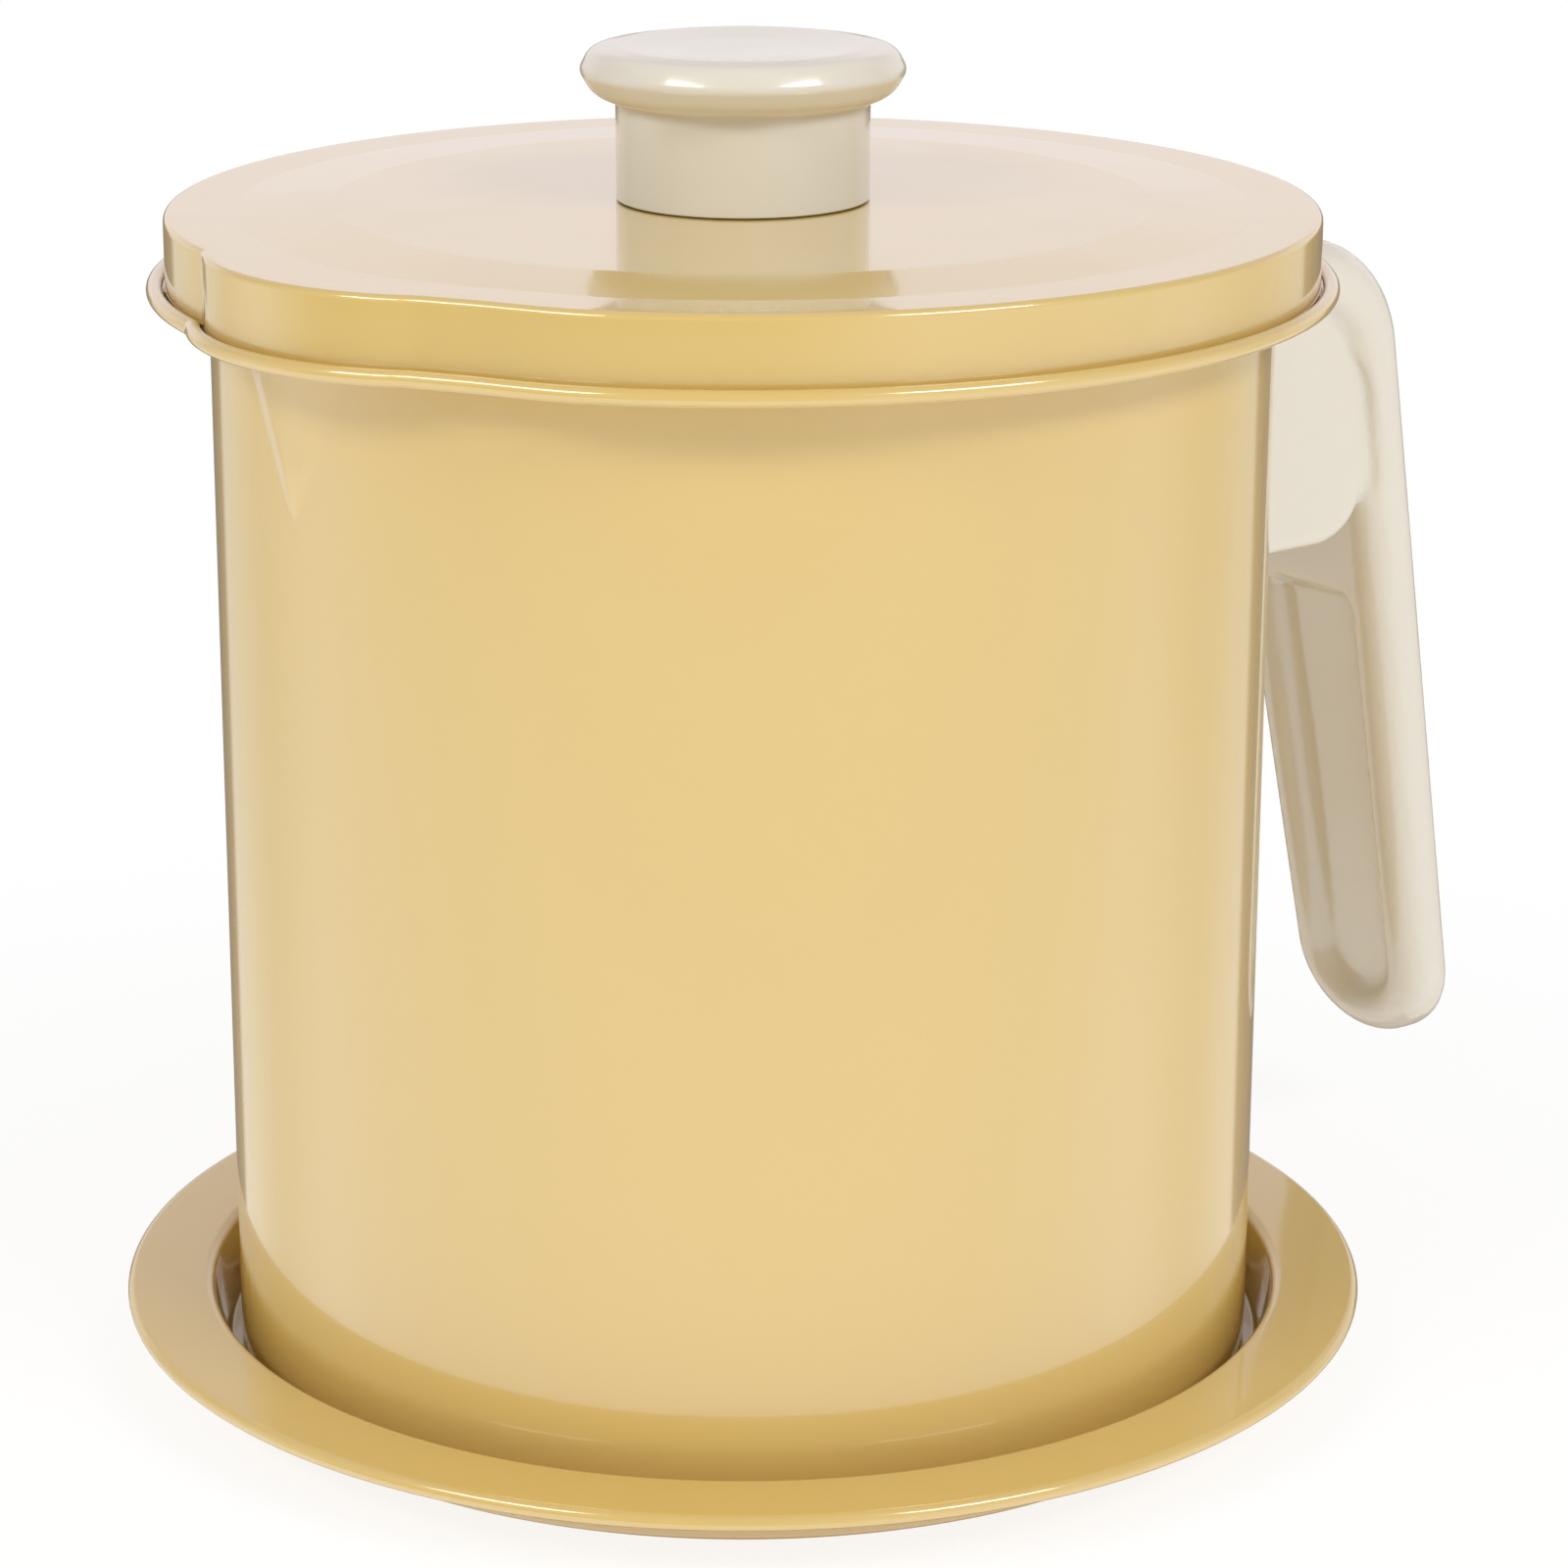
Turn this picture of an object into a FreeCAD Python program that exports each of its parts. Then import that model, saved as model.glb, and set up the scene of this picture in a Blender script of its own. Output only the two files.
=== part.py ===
import FreeCAD
import Part

import math
import os

import Sketcher

# Bacon grease container: a steel pot with a pouring lip, standing in a drip tray, with a strainer
# hung on its ledge and a lift-off lid over it. Millimetres and degrees. The pot's axis is Z, the
# table is Z = 0, the handle points along +X and the pouring lip along -X.

SIZES = [
    ("sheet", 0.8, "painted steel sheet of pot, lid and tray"),
    ("rest_gap", 0.1, "play between a loose piece and its seat"),
    ("tray_play", 1.5, "tray floor's corner beyond the pot's wall"),
    ("tray_lean", 2.0, "widening of the tray's well from floor to top"),
    ("tray_depth", 8.1, "tray floor's top to the flange's top"),
    ("tray_flange", 9.9, "well's top corner to the middle of the rolled edge"),
    ("tray_bead", 1.0, "radius of the tray's rolled edge"),
    ("tray_round", 1.4, "outer radius of the tray's two bends"),
    ("pot_radius", 65.0, "outside of the pot's wall"),
    ("pot_height", 135.7, "pot's underside to the ledge's underside"),
    ("pot_round", 2.0, "outer radius round the pot's floor"),
    ("ledge_width", 5.5, "pot's wall to the inside of the rolled rim"),
    ("bead_radius", 1.0, "radius of the rolled rim"),
    ("nose_radius", 34.65, "outer radius of the rim's nose, over the lip"),
    ("nose_reach", 3.55, "nose beyond the round rim"),
    ("nose_turn", 5.0, "degrees that the nose stands off the lip's middle"),
    ("nose_crease", 0.6, "hollow radius where the nose meets the round rim"),
    ("lip_depth", 19.4, "lip's point below the ledge"),
    ("lip_half_width", 12.8, "half of the lip's width at the ledge"),
    ("lip_reach", 4.6, "lip's crest beyond the wall at the ledge"),
    ("lip_crest", 5.3, "radius of the lip's crest at the ledge"),
    ("lid_play", 0.3, "lid's skirt to the rolled rim"),
    ("lid_height", 8.9, "skirt's lower edge to the lid's flat border"),
    ("lid_round", 1.2, "outer radius of the lid's edge"),
    ("lid_border", 8.2, "width of the lid's flat border"),
    ("lid_slope", 12.0, "width of the slope inside the border"),
    ("lid_rise", 0.6, "height of the raised middle over the border"),
    ("gasket_thickness", 0.4, "gasket under the knob"),
    ("gasket_inset", 0.6, "gasket's edge inside the knob's neck"),
    ("neck_radius", 15.45, "knob's neck"),
    ("neck_height", 11.0, "knob's base to the underside of its head"),
    ("knob_radius", 19.7, "knob's head"),
    ("head_height", 7.5, "underside of the knob's head to its top"),
    ("head_skew", 2.9, "rise of the head's underside from neck to edge"),
    ("head_round", 2.9, "upper radius of the head's edge"),
    ("dish_radius", 13.5, "dish in the top of the knob"),
    ("dish_depth", 1.0, "depth of that dish"),
    ("dish_slope", 3.0, "width of the dish's slope"),
    ("insert_radius", 3.4, "threaded insert in the knob"),
    ("insert_length", 9.0, "length of that insert"),
    ("insert_inset", 0.3, "insert's end above the knob's base"),
    ("mould_play", 0.05, "moulded piece round its insert"),
    ("thread_play", 0.05, "screw in its thread, drawn plain"),
    ("knob_screw_radius", 2.0, "shank of the knob's screw"),
    ("knob_screw_length", 10.0, "under its head to its tip"),
    ("knob_screw_head", 3.8, "head radius of the knob's screw"),
    ("knob_screw_rise", 2.4, "head height of the knob's screw"),
    ("knob_washer_radius", 5.0, "washer under that head"),
    ("knob_washer_thickness", 0.8, "thickness of that washer"),
    ("hole_play", 0.3, "shank in a clearance hole"),
    ("recess_arm", 2.2, "cross recess, middle to the end of an arm"),
    ("recess_half", 0.5, "half of an arm's width"),
    ("recess_depth", 1.4, "depth of the cross recess"),
    ("strainer_sheet", 0.5, "steel of the strainer's cup"),
    ("strainer_play", 1.0, "strainer's wall to the pot's wall at the top"),
    ("strainer_flange_play", 0.5, "strainer's flange to the lid's skirt"),
    ("strainer_depth", 32.0, "underside of the flange to the cup's underside"),
    ("strainer_taper", 2.5, "narrowing of the cup from top to floor"),
    ("mesh_border", 7.0, "floor left round the mesh's opening"),
    ("mesh_overlap", 3.0, "mesh held between floor and ring"),
    ("mesh_thickness", 0.4, "woven mesh"),
    ("ring_thickness", 0.6, "ring that clamps the mesh"),
    ("handle_gap", 0.15, "handle's end to the pot's wall"),
    ("handle_drop", 1.7, "handle's top below the ledge"),
    ("handle_reach", 33.3, "wall to the corner where arm and grip would meet"),
    ("handle_length", 120.0, "handle's top to its lower end"),
    ("grip_lean", 11.2, "degrees that the grip leans out from upright"),
    ("grip_thickness", 10.5, "grip and arm, inner to outer face"),
    ("arm_half_width", 15.6, "half width at the handle's top"),
    ("end_half_width", 12.0, "half width at the grip's lower end"),
    ("end_round", 11.8, "corner radius of the grip's lower end"),
    ("bend_radius", 18.9, "outer radius from arm to grip"),
    ("grip_round", 4.5, "edge radius of grip and arm"),
    ("block_half_width", 13.5, "half width of the block under the arm"),
    ("block_drop", 42.4, "handle's top to the block's underside"),
    ("block_round", 9.5, "radius of the block's lower outer corner"),
    ("dent_top", 50.6, "handle's top to the upper end of the finger dent"),
    ("dent_length", 65.3, "length of the dent along the grip"),
    ("dent_half_top", 9.0, "half of the dent's width at its upper end"),
    ("dent_half_end", 7.9, "half of the dent's width at its lower end"),
    ("dent_depth", 3.0, "depth of the dent"),
    ("dent_draft", 35.0, "degrees that the dent's sides slope"),
    ("dent_round", 3.0, "radius of the dent's upper corners"),
    ("dent_end_flat", 0.3, "half of the flat at the dent's round lower end"),
    ("bracket_depth", 15.0, "wall to the bracket's outer face"),
    ("bracket_width", 18.0, "bracket's width"),
    ("bracket_height", 24.0, "bracket's height"),
    ("bracket_plate", 2.0, "bracket's steel"),
    ("bracket_play", 0.3, "bracket in the handle's hollow"),
    ("screw_drop", 25.9, "handle's top to the handle screw's axis"),
    ("clamp_depth", 15.0, "handle between bracket and washer"),
    ("screw_radius", 2.5, "shank of the handle's screw"),
    ("screw_length", 25.0, "under its head to its tip"),
    ("screw_head", 4.75, "head radius of the handle's screw"),
    ("screw_rise", 3.0, "head height of the handle's screw"),
    ("washer_radius", 5.0, "washer under that head"),
    ("washer_thickness", 1.0, "thickness of that washer"),
    ("counterbore_play", 0.6, "washer in the handle's counterbore"),
    ("nut_corner", 4.6, "nut's middle to a corner"),
    ("nut_thickness", 4.0, "thickness of the nut"),
]

# Heights and radii that follow from the driving sizes, each as a formula over the sheet.
POT_FLOOR = "(dim.sheet + dim.rest_gap)"
LEDGE = f"({POT_FLOOR} + dim.pot_height)"
LEDGE_TOP = f"({LEDGE} + dim.sheet)"
SEAT = f"({LEDGE_TOP} + dim.rest_gap)"
RIM_RADIUS = "(dim.pot_radius + dim.ledge_width + 2 * dim.bead_radius)"
LID_INSET = "(2 * dim.bead_radius + dim.lid_play)"
LID_RADIUS = f"({RIM_RADIUS} - {LID_INSET})"
LID_EDGE = f"({SEAT} + dim.lid_height)"
LID_TOP = f"({LID_EDGE} + dim.lid_rise)"
LID_UNDER = f"({LID_TOP} - dim.sheet)"
KNOB_BASE = f"({LID_TOP} + dim.gasket_thickness)"
STRAINER_TOP_RADIUS = "(dim.pot_radius - dim.sheet - dim.strainer_play)"
STRAINER_END_RADIUS = f"({STRAINER_TOP_RADIUS} - dim.strainer_taper)"
STRAINER_UNDER = f"({SEAT} - dim.strainer_depth)"
STRAINER_FLOOR = f"({STRAINER_UNDER} + dim.strainer_sheet)"
OPENING_RADIUS = f"({STRAINER_END_RADIUS} - dim.strainer_sheet - dim.mesh_border)"
MESH_RADIUS = f"({OPENING_RADIUS} + dim.mesh_overlap)"
MESH_TOP = f"({STRAINER_FLOOR} + dim.mesh_thickness)"
HANDLE_TOP = f"({LEDGE} - dim.handle_drop)"
HANDLE_END = f"({HANDLE_TOP} - dim.handle_length)"
HANDLE_CORNER = "(dim.pot_radius + dim.handle_reach)"
HANDLE_START = "(dim.pot_radius / 2)"
GRIP_ACROSS = "(dim.grip_thickness / cos(dim.grip_lean))"
SCREW_HEIGHT = f"({HANDLE_TOP} - dim.screw_drop)"
BRACKET_FACE = "(dim.pot_radius + dim.bracket_depth)"
CLAMP_FACE = f"({BRACKET_FACE} + dim.clamp_depth)"
SCREW_SEAT = f"({CLAMP_FACE} + dim.washer_thickness)"

# Cutting shapes run past the surface that they cut by this much.
PAST = 10.0
NEAR = 1e-4
UP = FreeCAD.Vector(0, 0, 1)
OUTWARD = FreeCAD.Rotation(FreeCAD.Vector(0, 1, 0), 90)
INWARD = FreeCAD.Rotation(FreeCAD.Vector(0, 1, 0), -90)

document = FreeCAD.newDocument("grease_container")
dim = document.addObject("Spreadsheet::Sheet", "dim")
nodes = []


def fill_sheet():
    for row, (alias, size, meaning) in enumerate(SIZES, 1):
        dim.set(f"A{row}", alias)
        dim.set(f"B{row}", str(size))
        dim.set(f"C{row}", meaning)
        dim.setAlias(f"B{row}", alias)
    document.recompute()


def amount(formula):
    """The value of a formula over the sheet, as a plain number."""
    found = dim.evalExpression(str(formula))
    return float(getattr(found, "Value", found))


def keep(piece, name):
    piece.Label = name
    nodes.append(piece)
    return piece


def new_body(name):
    return document.addObject("PartDesign::Body", name + "_body")


def sketch_on(body, name, role):
    """A sketch on one of the body's own origin planes."""
    sketch = body.newObject("Sketcher::SketchObject", name)
    plane = next(item for item in body.Origin.OriginFeatures if item.Role == role)
    sketch.AttachmentSupport = [(plane, "")]
    sketch.MapMode = "FlatFace"
    return sketch


def bind(sketch, constraint, name, formula):
    """Adds a named dimension to a sketch and ties it to the sheet."""
    index = sketch.addConstraint(constraint)
    sketch.renameConstraint(index, name)
    sketch.setExpression("Constraints." + name, formula)


def pin(sketch, element, place, name, corner):
    """Ties a point of a sketch to its distances from the origin."""
    for kind, formula in zip(("DistanceX", "DistanceY"), corner):
        spot = Sketcher.Constraint(kind, -1, 1, element, place, amount(formula))
        bind(sketch, spot, f"{kind}{name}", formula)


def draw_outline(sketch, corners, name="c"):
    """Draws a closed outline. A corner is (across, up), or (across, up, radius) where it is round."""
    spots = [FreeCAD.Vector(amount(corner[0]), amount(corner[1]), 0) for corner in corners]
    count = len(spots)
    starts, ends, arcs = [], [], []
    for index, corner in enumerate(corners):
        spot = spots[index]
        if len(corner) == 2:
            starts.append(spot)
            ends.append(spot)
            arcs.append(None)
            continue
        radius = amount(corner[2])
        back = (spots[index - 1] - spot).normalize()
        onward = (spots[(index + 1) % count] - spot).normalize()
        half = back.getAngle(onward) / 2
        starts.append(spot + back * (radius / math.tan(half)))
        ends.append(spot + onward * (radius / math.tan(half)))
        centre = spot + (back + onward).normalize() * (radius / math.sin(half))
        arcs.append((centre, radius, back.cross(onward).z < 0))
    lines = []
    for index in range(count):
        line = Part.LineSegment(ends[index], starts[(index + 1) % count])
        lines.append(sketch.addGeometry(line, False))
    for index, corner in enumerate(corners):
        before, after = lines[index - 1], lines[index]
        label = f"{name}{index}"
        if arcs[index] is None:
            sketch.addConstraint(Sketcher.Constraint("Coincident", before, 2, after, 1))
            pin(sketch, after, 1, label, corner[:2])
            continue
        centre, radius, leftward = arcs[index]
        first, last = (starts[index], ends[index]) if leftward else (ends[index], starts[index])
        turn = [math.atan2(end.y - centre.y, end.x - centre.x) for end in (first, last)]
        arc = Part.ArcOfCircle(Part.Circle(centre, UP, radius), turn[0], turn[1])
        bend = sketch.addGeometry(arc, False)
        apex = sketch.addGeometry(Part.Point(spots[index]), True)
        pin(sketch, apex, 1, label, corner[:2])
        sketch.addConstraint(Sketcher.Constraint("PointOnObject", apex, 1, before))
        sketch.addConstraint(Sketcher.Constraint("PointOnObject", apex, 1, after))
        sketch.addConstraint(Sketcher.Constraint("Tangent", before, 2, bend, 1 if leftward else 2))
        sketch.addConstraint(Sketcher.Constraint("Tangent", after, 1, bend, 2 if leftward else 1))
        bind(sketch, Sketcher.Constraint("Radius", bend, radius), f"Radius{label}", corner[2])


def draw_circle(sketch, centre, radius):
    middle = FreeCAD.Vector(amount(centre[0]), amount(centre[1]), 0)
    index = sketch.addGeometry(Part.Circle(middle, UP, amount(radius)), False)
    pin(sketch, index, 3, "centre", centre)
    bind(sketch, Sketcher.Constraint("Radius", index, amount(radius)), "radius", radius)


def revolve(body, sketch, name):
    turned = body.newObject("PartDesign::Revolution", name)
    turned.Profile = sketch
    turned.ReferenceAxis = (sketch, ["V_Axis"])
    turned.Angle = 360
    return turned


def turned_body(name, corners):
    """A body turned about its own Z axis from an outline of (radius, height) corners."""
    body = new_body(name)
    sketch = sketch_on(body, name + "_profile", "XZ_Plane")
    draw_outline(sketch, corners)
    revolve(body, sketch, name + "_turned")
    return body


def ring(name, inner, outer, low, high):
    return turned_body(name, [(inner, low), (outer, low), (outer, high), (inner, high)])


def pad(body, sketch, name, length):
    """Pads a sketch by a length, half of it to each side."""
    grown = body.newObject("PartDesign::Pad", name)
    grown.Profile = sketch
    grown.Midplane = True
    grown.setExpression("Length", length)
    return grown


def pocket(body, sketch, name, depth, backwards=False):
    """Cuts a sketch into the body, to a depth or, with None, right through both ways."""
    cut = body.newObject("PartDesign::Pocket", name)
    cut.Profile = sketch
    if depth is None:
        cut.Type = "ThroughAll"
        cut.Midplane = True
    else:
        cut.setExpression("Length", depth)
        cut.Reversed = backwards
    return cut


def is_sharp(shape, edge):
    """Whether the two faces at an edge meet at an angle."""
    middle = edge.valueAt((edge.FirstParameter + edge.LastParameter) / 2)
    faces = shape.ancestorsOfType(edge, Part.Face)
    normals = [face.normalAt(*face.Surface.parameter(middle)) for face in faces]
    return normals[0].dot(normals[-1]) < 1 - NEAR


def round_edges(body, name, radius, wanted):
    """Rounds the edges of the body so far that a test picks out."""
    document.recompute()
    base = body.Tip
    shape = base.Shape
    names = [f"Edge{index}" for index, edge in enumerate(shape.Edges, 1) if wanted(shape, edge)]
    if not names:
        raise RuntimeError(f"{name}: no edge to round")
    fillet = body.newObject("PartDesign::Fillet", name)
    fillet.Base = (base, names)
    fillet.setExpression("Radius", radius)
    return fillet


def place(piece, across, height, rotation=FreeCAD.Rotation()):
    """Puts a piece at formulas for its X and Z, with a rotation about its own origin."""
    piece.Placement = FreeCAD.Placement(FreeCAD.Vector(), rotation)
    piece.setExpression("Placement.Base.x", across)
    piece.setExpression("Placement.Base.z", height)


def make_tray():
    """Shallow stamped dish: a flat floor, a leaning wall, a flange and a rolled edge."""
    floor_radius = "(dim.pot_radius + dim.tray_play)"
    well_radius = f"({floor_radius} + dim.tray_lean)"
    edge_radius = f"({well_radius} + dim.tray_flange)"
    top = "(dim.sheet + dim.tray_depth)"
    lean = "(dim.tray_lean / dim.tray_depth)"
    across = f"(dim.sheet * sqrt(1 + {lean} * {lean}))"
    inside = "(dim.tray_round - dim.sheet)"
    body = turned_body("tray", [
        ("0", "0"),
        (f"{floor_radius} + {across} - dim.sheet * {lean}", "0", "dim.tray_round"),
        (f"{well_radius} + {across} - dim.sheet * {lean}", f"{top} - dim.sheet", inside),
        (edge_radius, f"{top} - dim.sheet"),
        (edge_radius, top),
        (well_radius, top, "dim.tray_round"),
        (floor_radius, "dim.sheet", inside),
        ("0", "dim.sheet"),
    ])
    edge = sketch_on(body, "tray_edge", "XZ_Plane")
    draw_circle(edge, (edge_radius, f"{top} - dim.tray_bead"), "dim.tray_bead")
    revolve(body, edge, "tray_rolled_edge")
    keep(body, "tray")


def rim_outline(inset, height):
    """The rim from above: a circle joined to the lip's nose by two small hollow corners."""
    circle = amount(RIM_RADIUS) - inset
    nose = dim.nose_radius - inset
    hollow = dim.nose_crease + inset
    shift = amount(RIM_RADIUS) + dim.nose_reach - dim.nose_radius
    reach = amount(RIM_RADIUS) + dim.nose_crease
    nose_reach = dim.nose_radius + dim.nose_crease
    corner_x = -(reach ** 2 - nose_reach ** 2 + shift ** 2) / (2 * shift)
    corner_y = math.sqrt(reach ** 2 - corner_x ** 2)
    middle = FreeCAD.Vector(-shift, 0, 0)
    sides = []
    for side in (1, -1):
        corner = FreeCAD.Vector(corner_x, side * corner_y, 0)
        on_circle = corner * (circle / corner.Length)
        on_nose = middle + (corner - middle).normalize() * nose
        inner = (on_circle + on_nose) / 2 - corner
        deepest = corner + inner.normalize() * hollow
        sides.append((on_circle, deepest, on_nose))
    back = FreeCAD.Vector(circle, 0, 0)
    front = FreeCAD.Vector(-shift - nose, 0, 0)
    turn = math.atan2(sides[0][0].y, sides[0][0].x) / 2
    across, along = math.sin(turn) * circle, math.cos(turn) * circle
    halfway = [FreeCAD.Vector(along, across, 0), FreeCAD.Vector(along, -across, 0)]
    arcs = [
        Part.Arc(back, halfway[0], sides[0][0]),
        Part.Arc(*sides[0]),
        Part.Arc(sides[0][2], front, sides[1][2]),
        Part.Arc(*reversed(sides[1])),
        Part.Arc(sides[1][0], halfway[1], back),
    ]
    outline = Part.Wire([arc.toShape() for arc in arcs])
    outline.rotate(FreeCAD.Vector(), UP, dim.nose_turn)
    outline.translate(UP * height)
    return outline


def rim_slab(inset, low, high):
    return Part.Face(rim_outline(inset, low)).extrude(UP * (high - low))


def rolled_rim(height):
    """The rim's bead: a round rod bent along the rim's outline."""
    path = rim_outline(dim.bead_radius, height)
    start = path.Edges[0]
    along = start.tangentAt(start.FirstParameter)
    circle = Part.Circle(start.valueAt(start.FirstParameter), along, dim.bead_radius)
    return path.makePipeShell([Part.Wire([circle.toShape()])], True, False)


def lip(shrink, top):
    """The pouring lip: a rounded V at the ledge that runs down to a point on the wall."""
    crest = dim.pot_radius + dim.lip_reach - shrink
    foot_x = math.sqrt(dim.pot_radius ** 2 - dim.lip_half_width ** 2) - shrink
    middle_x = crest - dim.lip_crest
    gap = math.hypot(middle_x - foot_x, dim.lip_half_width)
    turn = math.atan2(dim.lip_half_width, foot_x - middle_x) - math.acos(dim.lip_crest / gap)
    touch = FreeCAD.Vector(middle_x + dim.lip_crest * math.cos(turn), dim.lip_crest * math.sin(turn), top)
    points = [FreeCAD.Vector(-foot_x, dim.lip_half_width, top), FreeCAD.Vector(-touch.x, touch.y, top)]
    mirrored = [FreeCAD.Vector(point.x, -point.y, top) for point in points]
    crest_point = FreeCAD.Vector(-crest, 0, top)
    behind = FreeCAD.Vector(-foot_x + PAST / 2, 0, top)
    outline = Part.Wire([
        Part.LineSegment(points[0], points[1]).toShape(),
        Part.Arc(points[1], crest_point, mirrored[1]).toShape(),
        Part.LineSegment(mirrored[1], mirrored[0]).toShape(),
        Part.LineSegment(mirrored[0], behind).toShape(),
        Part.LineSegment(behind, points[0]).toShape(),
    ])
    point = Part.Vertex(shrink - dim.pot_radius, 0, amount(LEDGE) - dim.lip_depth)
    return Part.makeLoft([point, outline], True, True)


def edges_at(shape, height):
    return [edge for edge in shape.Edges if all(abs(end.Z - height) < NEAR for end in edge.Vertexes)
            and abs(edge.CenterOfMass.z - height) < NEAR]


def make_pot_body():
    """Pot drawn from one sheet: floor, wall, lip, ledge and rolled rim."""
    floor, ledge = amount(POT_FLOOR), amount(LEDGE)
    ledge_top = amount(LEDGE_TOP)
    inner_radius = dim.pot_radius - dim.sheet
    outside = Part.makeCylinder(dim.pot_radius, ledge_top - floor, UP * floor)
    outside = outside.makeFillet(dim.pot_round, edges_at(outside, floor))
    inner_floor = floor + dim.sheet
    inside = Part.makeCylinder(inner_radius, ledge_top - floor, UP * inner_floor)
    inside = inside.makeFillet(dim.pot_round - dim.sheet, edges_at(inside, inner_floor))
    ledge_slab = rim_slab(dim.bead_radius, ledge, ledge_top)
    outside = outside.fuse([lip(0, ledge_top), ledge_slab])
    inside = inside.fuse(lip(dim.sheet, ledge_top))
    shape = outside.cut(inside)
    shape = shape.fuse(rolled_rim(ledge_top)).removeSplitter()
    pot = document.addObject("Part::Feature", "pot_body_shell")
    pot.Shape = shape
    keep(pot, "pot_body")


def lid_block(inset, low, edge, rounding):
    """A solid in the lid's outer form: a slab with a rounded edge and a raised middle."""
    block = rim_slab(inset, low, edge)
    block = block.makeFillet(rounding, edges_at(block, edge))
    border = amount(LID_RADIUS) - dim.lid_border
    raised = Part.makeCone(border, border - dim.lid_slope, dim.lid_rise, UP * edge)
    sunk = Part.makeCylinder(border, dim.lid_height / 2, UP * (edge - dim.lid_height / 2))
    return block.fuse([raised, sunk])


def make_lid():
    """Stamped lid whose skirt follows the rim's outline just inside the bead."""
    seat, edge = amount(SEAT), amount(LID_EDGE)
    inset = amount(LID_INSET)
    outside = lid_block(inset, seat, edge, dim.lid_round)
    inside = lid_block(inset + dim.sheet, seat - PAST, edge - dim.sheet, dim.lid_round - dim.sheet)
    hole = Part.makeCylinder(dim.knob_screw_radius + dim.hole_play, PAST, UP * (edge - PAST / 2))
    lid = document.addObject("Part::Feature", "lid_cover")
    lid.Shape = outside.cut([inside, hole]).removeSplitter()
    keep(lid, "lid")


def make_knob():
    """Turned knob: a straight neck under a wide dished head, with a blind hole for its insert."""
    top = "(dim.neck_height + dim.head_height)"
    body = turned_body("knob", [
        ("0", "dim.insert_length + 2 * dim.insert_inset"),
        ("dim.insert_radius + dim.mould_play", "dim.insert_length + 2 * dim.insert_inset"),
        ("dim.insert_radius + dim.mould_play", "0"),
        ("dim.neck_radius", "0", "dim.gasket_inset"),
        ("dim.neck_radius", "dim.neck_height"),
        ("dim.knob_radius", "dim.neck_height + dim.head_skew", "dim.head_round / 2"),
        ("dim.knob_radius", top, "dim.head_round"),
        ("dim.dish_radius", top, "dim.head_round"),
        ("dim.dish_radius - dim.dish_slope", f"{top} - dim.dish_depth", "dim.head_round"),
        ("0", f"{top} - dim.dish_depth"),
    ])
    place(body, "0", KNOB_BASE)
    keep(body, "knob")


def make_knob_fastening():
    """Gasket, insert, washer and screw that hold the knob to the lid."""
    hole = "(dim.knob_screw_radius + dim.hole_play)"
    gasket = ring("knob_gasket", hole, "dim.neck_radius - dim.gasket_inset", "0", "dim.gasket_thickness")
    place(gasket, "0", LID_TOP)
    keep(gasket, "knob_gasket")
    bore = "(dim.knob_screw_radius + dim.thread_play)"
    insert = ring("knob_insert", bore, "dim.insert_radius", "0", "dim.insert_length")
    place(insert, "0", f"{KNOB_BASE} + dim.insert_inset")
    keep(insert, "knob_insert")
    washer = ring("knob_washer", hole, "dim.knob_washer_radius", "0", "dim.knob_washer_thickness")
    place(washer, "0", f"{LID_UNDER} - dim.knob_washer_thickness")
    keep(washer, "knob_washer")
    screw = pan_head_screw("knob_screw", "dim.knob_screw_radius", "dim.knob_screw_length",
                           "dim.knob_screw_head", "dim.knob_screw_rise")
    place(screw, "0", f"{LID_UNDER} - dim.knob_washer_thickness")
    keep(screw, "knob_screw")


def pan_head_screw(name, shank, length, head, rise):
    """A screw along Z: tip up, the underside of its head at 0, a cross recess in the head."""
    body = turned_body(name, [
        ("0", f"-{rise}"),
        (head, f"-{rise}", f"{rise} / 2"),
        (head, "0"),
        (shank, "0"),
        (shank, f"{length} - dim.recess_half"),
        (f"{shank} - dim.recess_half", length),
        ("0", length),
    ])
    recess = sketch_on(body, name + "_recess", "XY_Plane")
    recess.setExpression("AttachmentOffset.Base.z", f"-{rise}")
    arm, half = "dim.recess_arm", "dim.recess_half"
    quarter = [(arm, f"-{half}"), (arm, half), (half, half)]
    corners = []
    for _ in range(4):
        corners += quarter
        quarter = [(negative(up), across) for across, up in quarter]
    draw_outline(recess, corners)
    pocket(body, recess, name + "_cross", "dim.recess_depth", backwards=True)
    return body


def negative(formula):
    return formula[1:] if formula.startswith("-") else "-" + formula


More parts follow.
